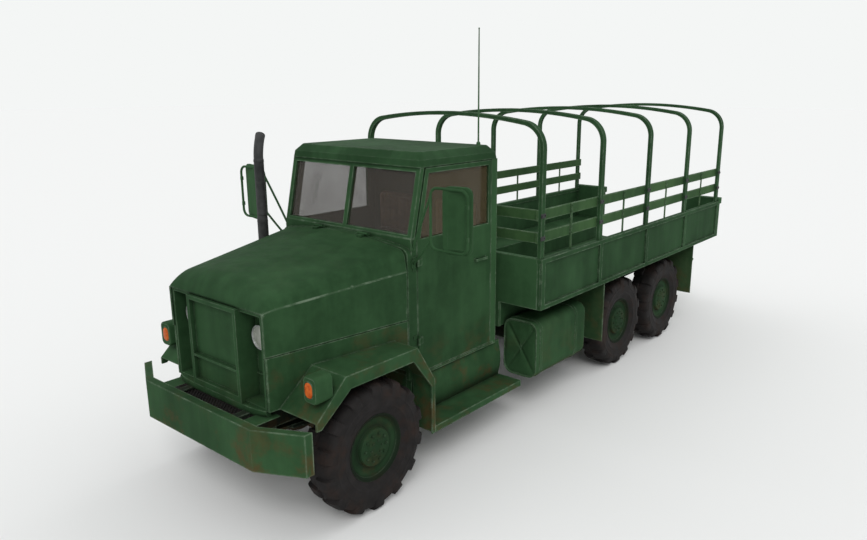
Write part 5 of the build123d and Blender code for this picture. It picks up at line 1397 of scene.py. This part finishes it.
def roundedBox(size, corner, wide, thin):
    # A rounded rectangle carried through its thin direction; near each face it draws in by corner (1 - sin a)
    turn = np.linspace(0, np.pi / 2, 6)
    depth = size[thin] - corner * (1 - np.cos(turn))
    inset = corner * (1 - np.sin(turn))
    layers = [*zip(-depth, inset), *zip(depth[::-1], inset[::-1])]
    points, faces = cushioned(size[0], size[wide], corner * 1.6, layers)
    order = np.zeros_like(points)
    order[:, [0, wide, thin]] = points
    return order, faces


def readPoints(values, count, key="co"):
    points = np.empty(count * 3, np.float32)
    values.foreach_get(key, points)
    return points.reshape(-1, 3)


def swell(pad, values):
    # Cloth with inner pressure and no gravity, its movement capped, then put back in the mesh
    cloth = pad.modifiers.new("swell", "CLOTH")
    cloth.settings.quality = 4
    cloth.settings.use_pressure = True
    cloth.settings.uniform_pressure_force = values["pressure"]
    cloth.settings.effector_weights.gravity = 0
    cloth.point_cache.frame_start = 1
    cloth.point_cache.frame_end = values["frames"]
    for step in range(1, values["frames"] + 1):
        scene.frame_set(step)
    swollen = pad.evaluated_get(bpy.context.evaluated_depsgraph_get()).to_mesh().vertices
    after = readPoints(swollen, len(swollen))
    before = readPoints(pad.data.vertices, len(pad.data.vertices))
    pad.modifiers.remove(cloth)
    move = after - before
    move *= np.minimum(1, values["cap"] / np.maximum(np.linalg.norm(move, axis=1)[:, None], 1e-9))
    pad.data.vertices.foreach_set("co", (before + move).ravel())
    scene.frame_set(1)


def applyModifiers(pad):
    mesh = bpy.data.meshes.new_from_object(pad.evaluated_get(bpy.context.evaluated_depsgraph_get()))
    pad.modifiers.clear()
    pad.data = mesh


def sewChannels(pad, values, wide, facing, low, high):
    # Pushes points in along their normal by depth exp(-(distance / width)^2) from each seam of that side
    mesh = pad.data
    points, normals = (readPoints(mesh.vertices, len(mesh.vertices), key) for key in ("co", "normal"))
    x, reach, border = points[:, 0] - values["x"], points[:, wide], values["border"]
    start, end = low[wide] + border, high[wide] - border
    inside = np.clip((reach - start) / 0.02, 0, 1) * np.clip((end - reach) / 0.02, 0, 1)
    edge = np.maximum(np.abs(x) - (values["halfWidth"] - border), np.maximum(start - reach, reach - end))
    dip = bell(edge, values["channelWidth"])
    for channel in values["channels"]:
        dip = np.maximum(dip, bell(x - channel, values["channelWidth"]) * inside)
    dip = dip * np.clip(normals @ np.array(facing) * 1.6 - 0.4, 0, 1)
    points = points - normals * (values["channelDepth"] * dip)[:, None]
    mesh.vertices.foreach_set("co", np.clip(points, low, high).astype(np.float32).ravel())
    mesh.update()


def padPiece(name, values):
    (yLow, yHigh), (zLow, zHigh), wide, facing = values["pads"][name]
    low = at(values["x"] - values["halfWidth"], yLow, zLow)
    high = at(values["x"] + values["halfWidth"], yHigh, zHigh)
    size = (high - low) / 2 - values["slack"]
    thin = 3 - wide
    shape = moved(roundedBox(size, min(values["round"], size[thin] * 0.92), wide, thin), (low + high) / 2)
    pad = addPiece(f"seat_{name}.left", [shape], "seatCloth", [f"seat_{name}s"], smooth=180)
    remesh = pad.modifiers.new("remesh", "REMESH")
    remesh.mode = "VOXEL"
    remesh.voxel_size = values["voxel"]
    remesh.use_smooth_shade = True
    applyModifiers(pad)
    swell(pad, values)
    finer = pad.modifiers.new("finer", "SUBSURF")
    finer.levels = finer.render_levels = 1
    applyModifiers(pad)
    sewChannels(pad, values, wide, facing, low, high)
    pad.data.materials.clear()
    pad.data.materials.append(finishes["seatCloth"])
    twin = pad.data.copy()
    points = readPoints(twin.vertices, len(twin.vertices)) - np.float32([2 * values["x"], 0, 0])
    twin.vertices.foreach_set("co", points.ravel())
    other = bpy.data.objects.new(f"seat_{name}.right", twin)
    scene.collection.objects.link(other)
    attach(other, "chassis")


for padName in seat["pads"]:
    padPiece(padName, seat)
print("seats padded and sewn")
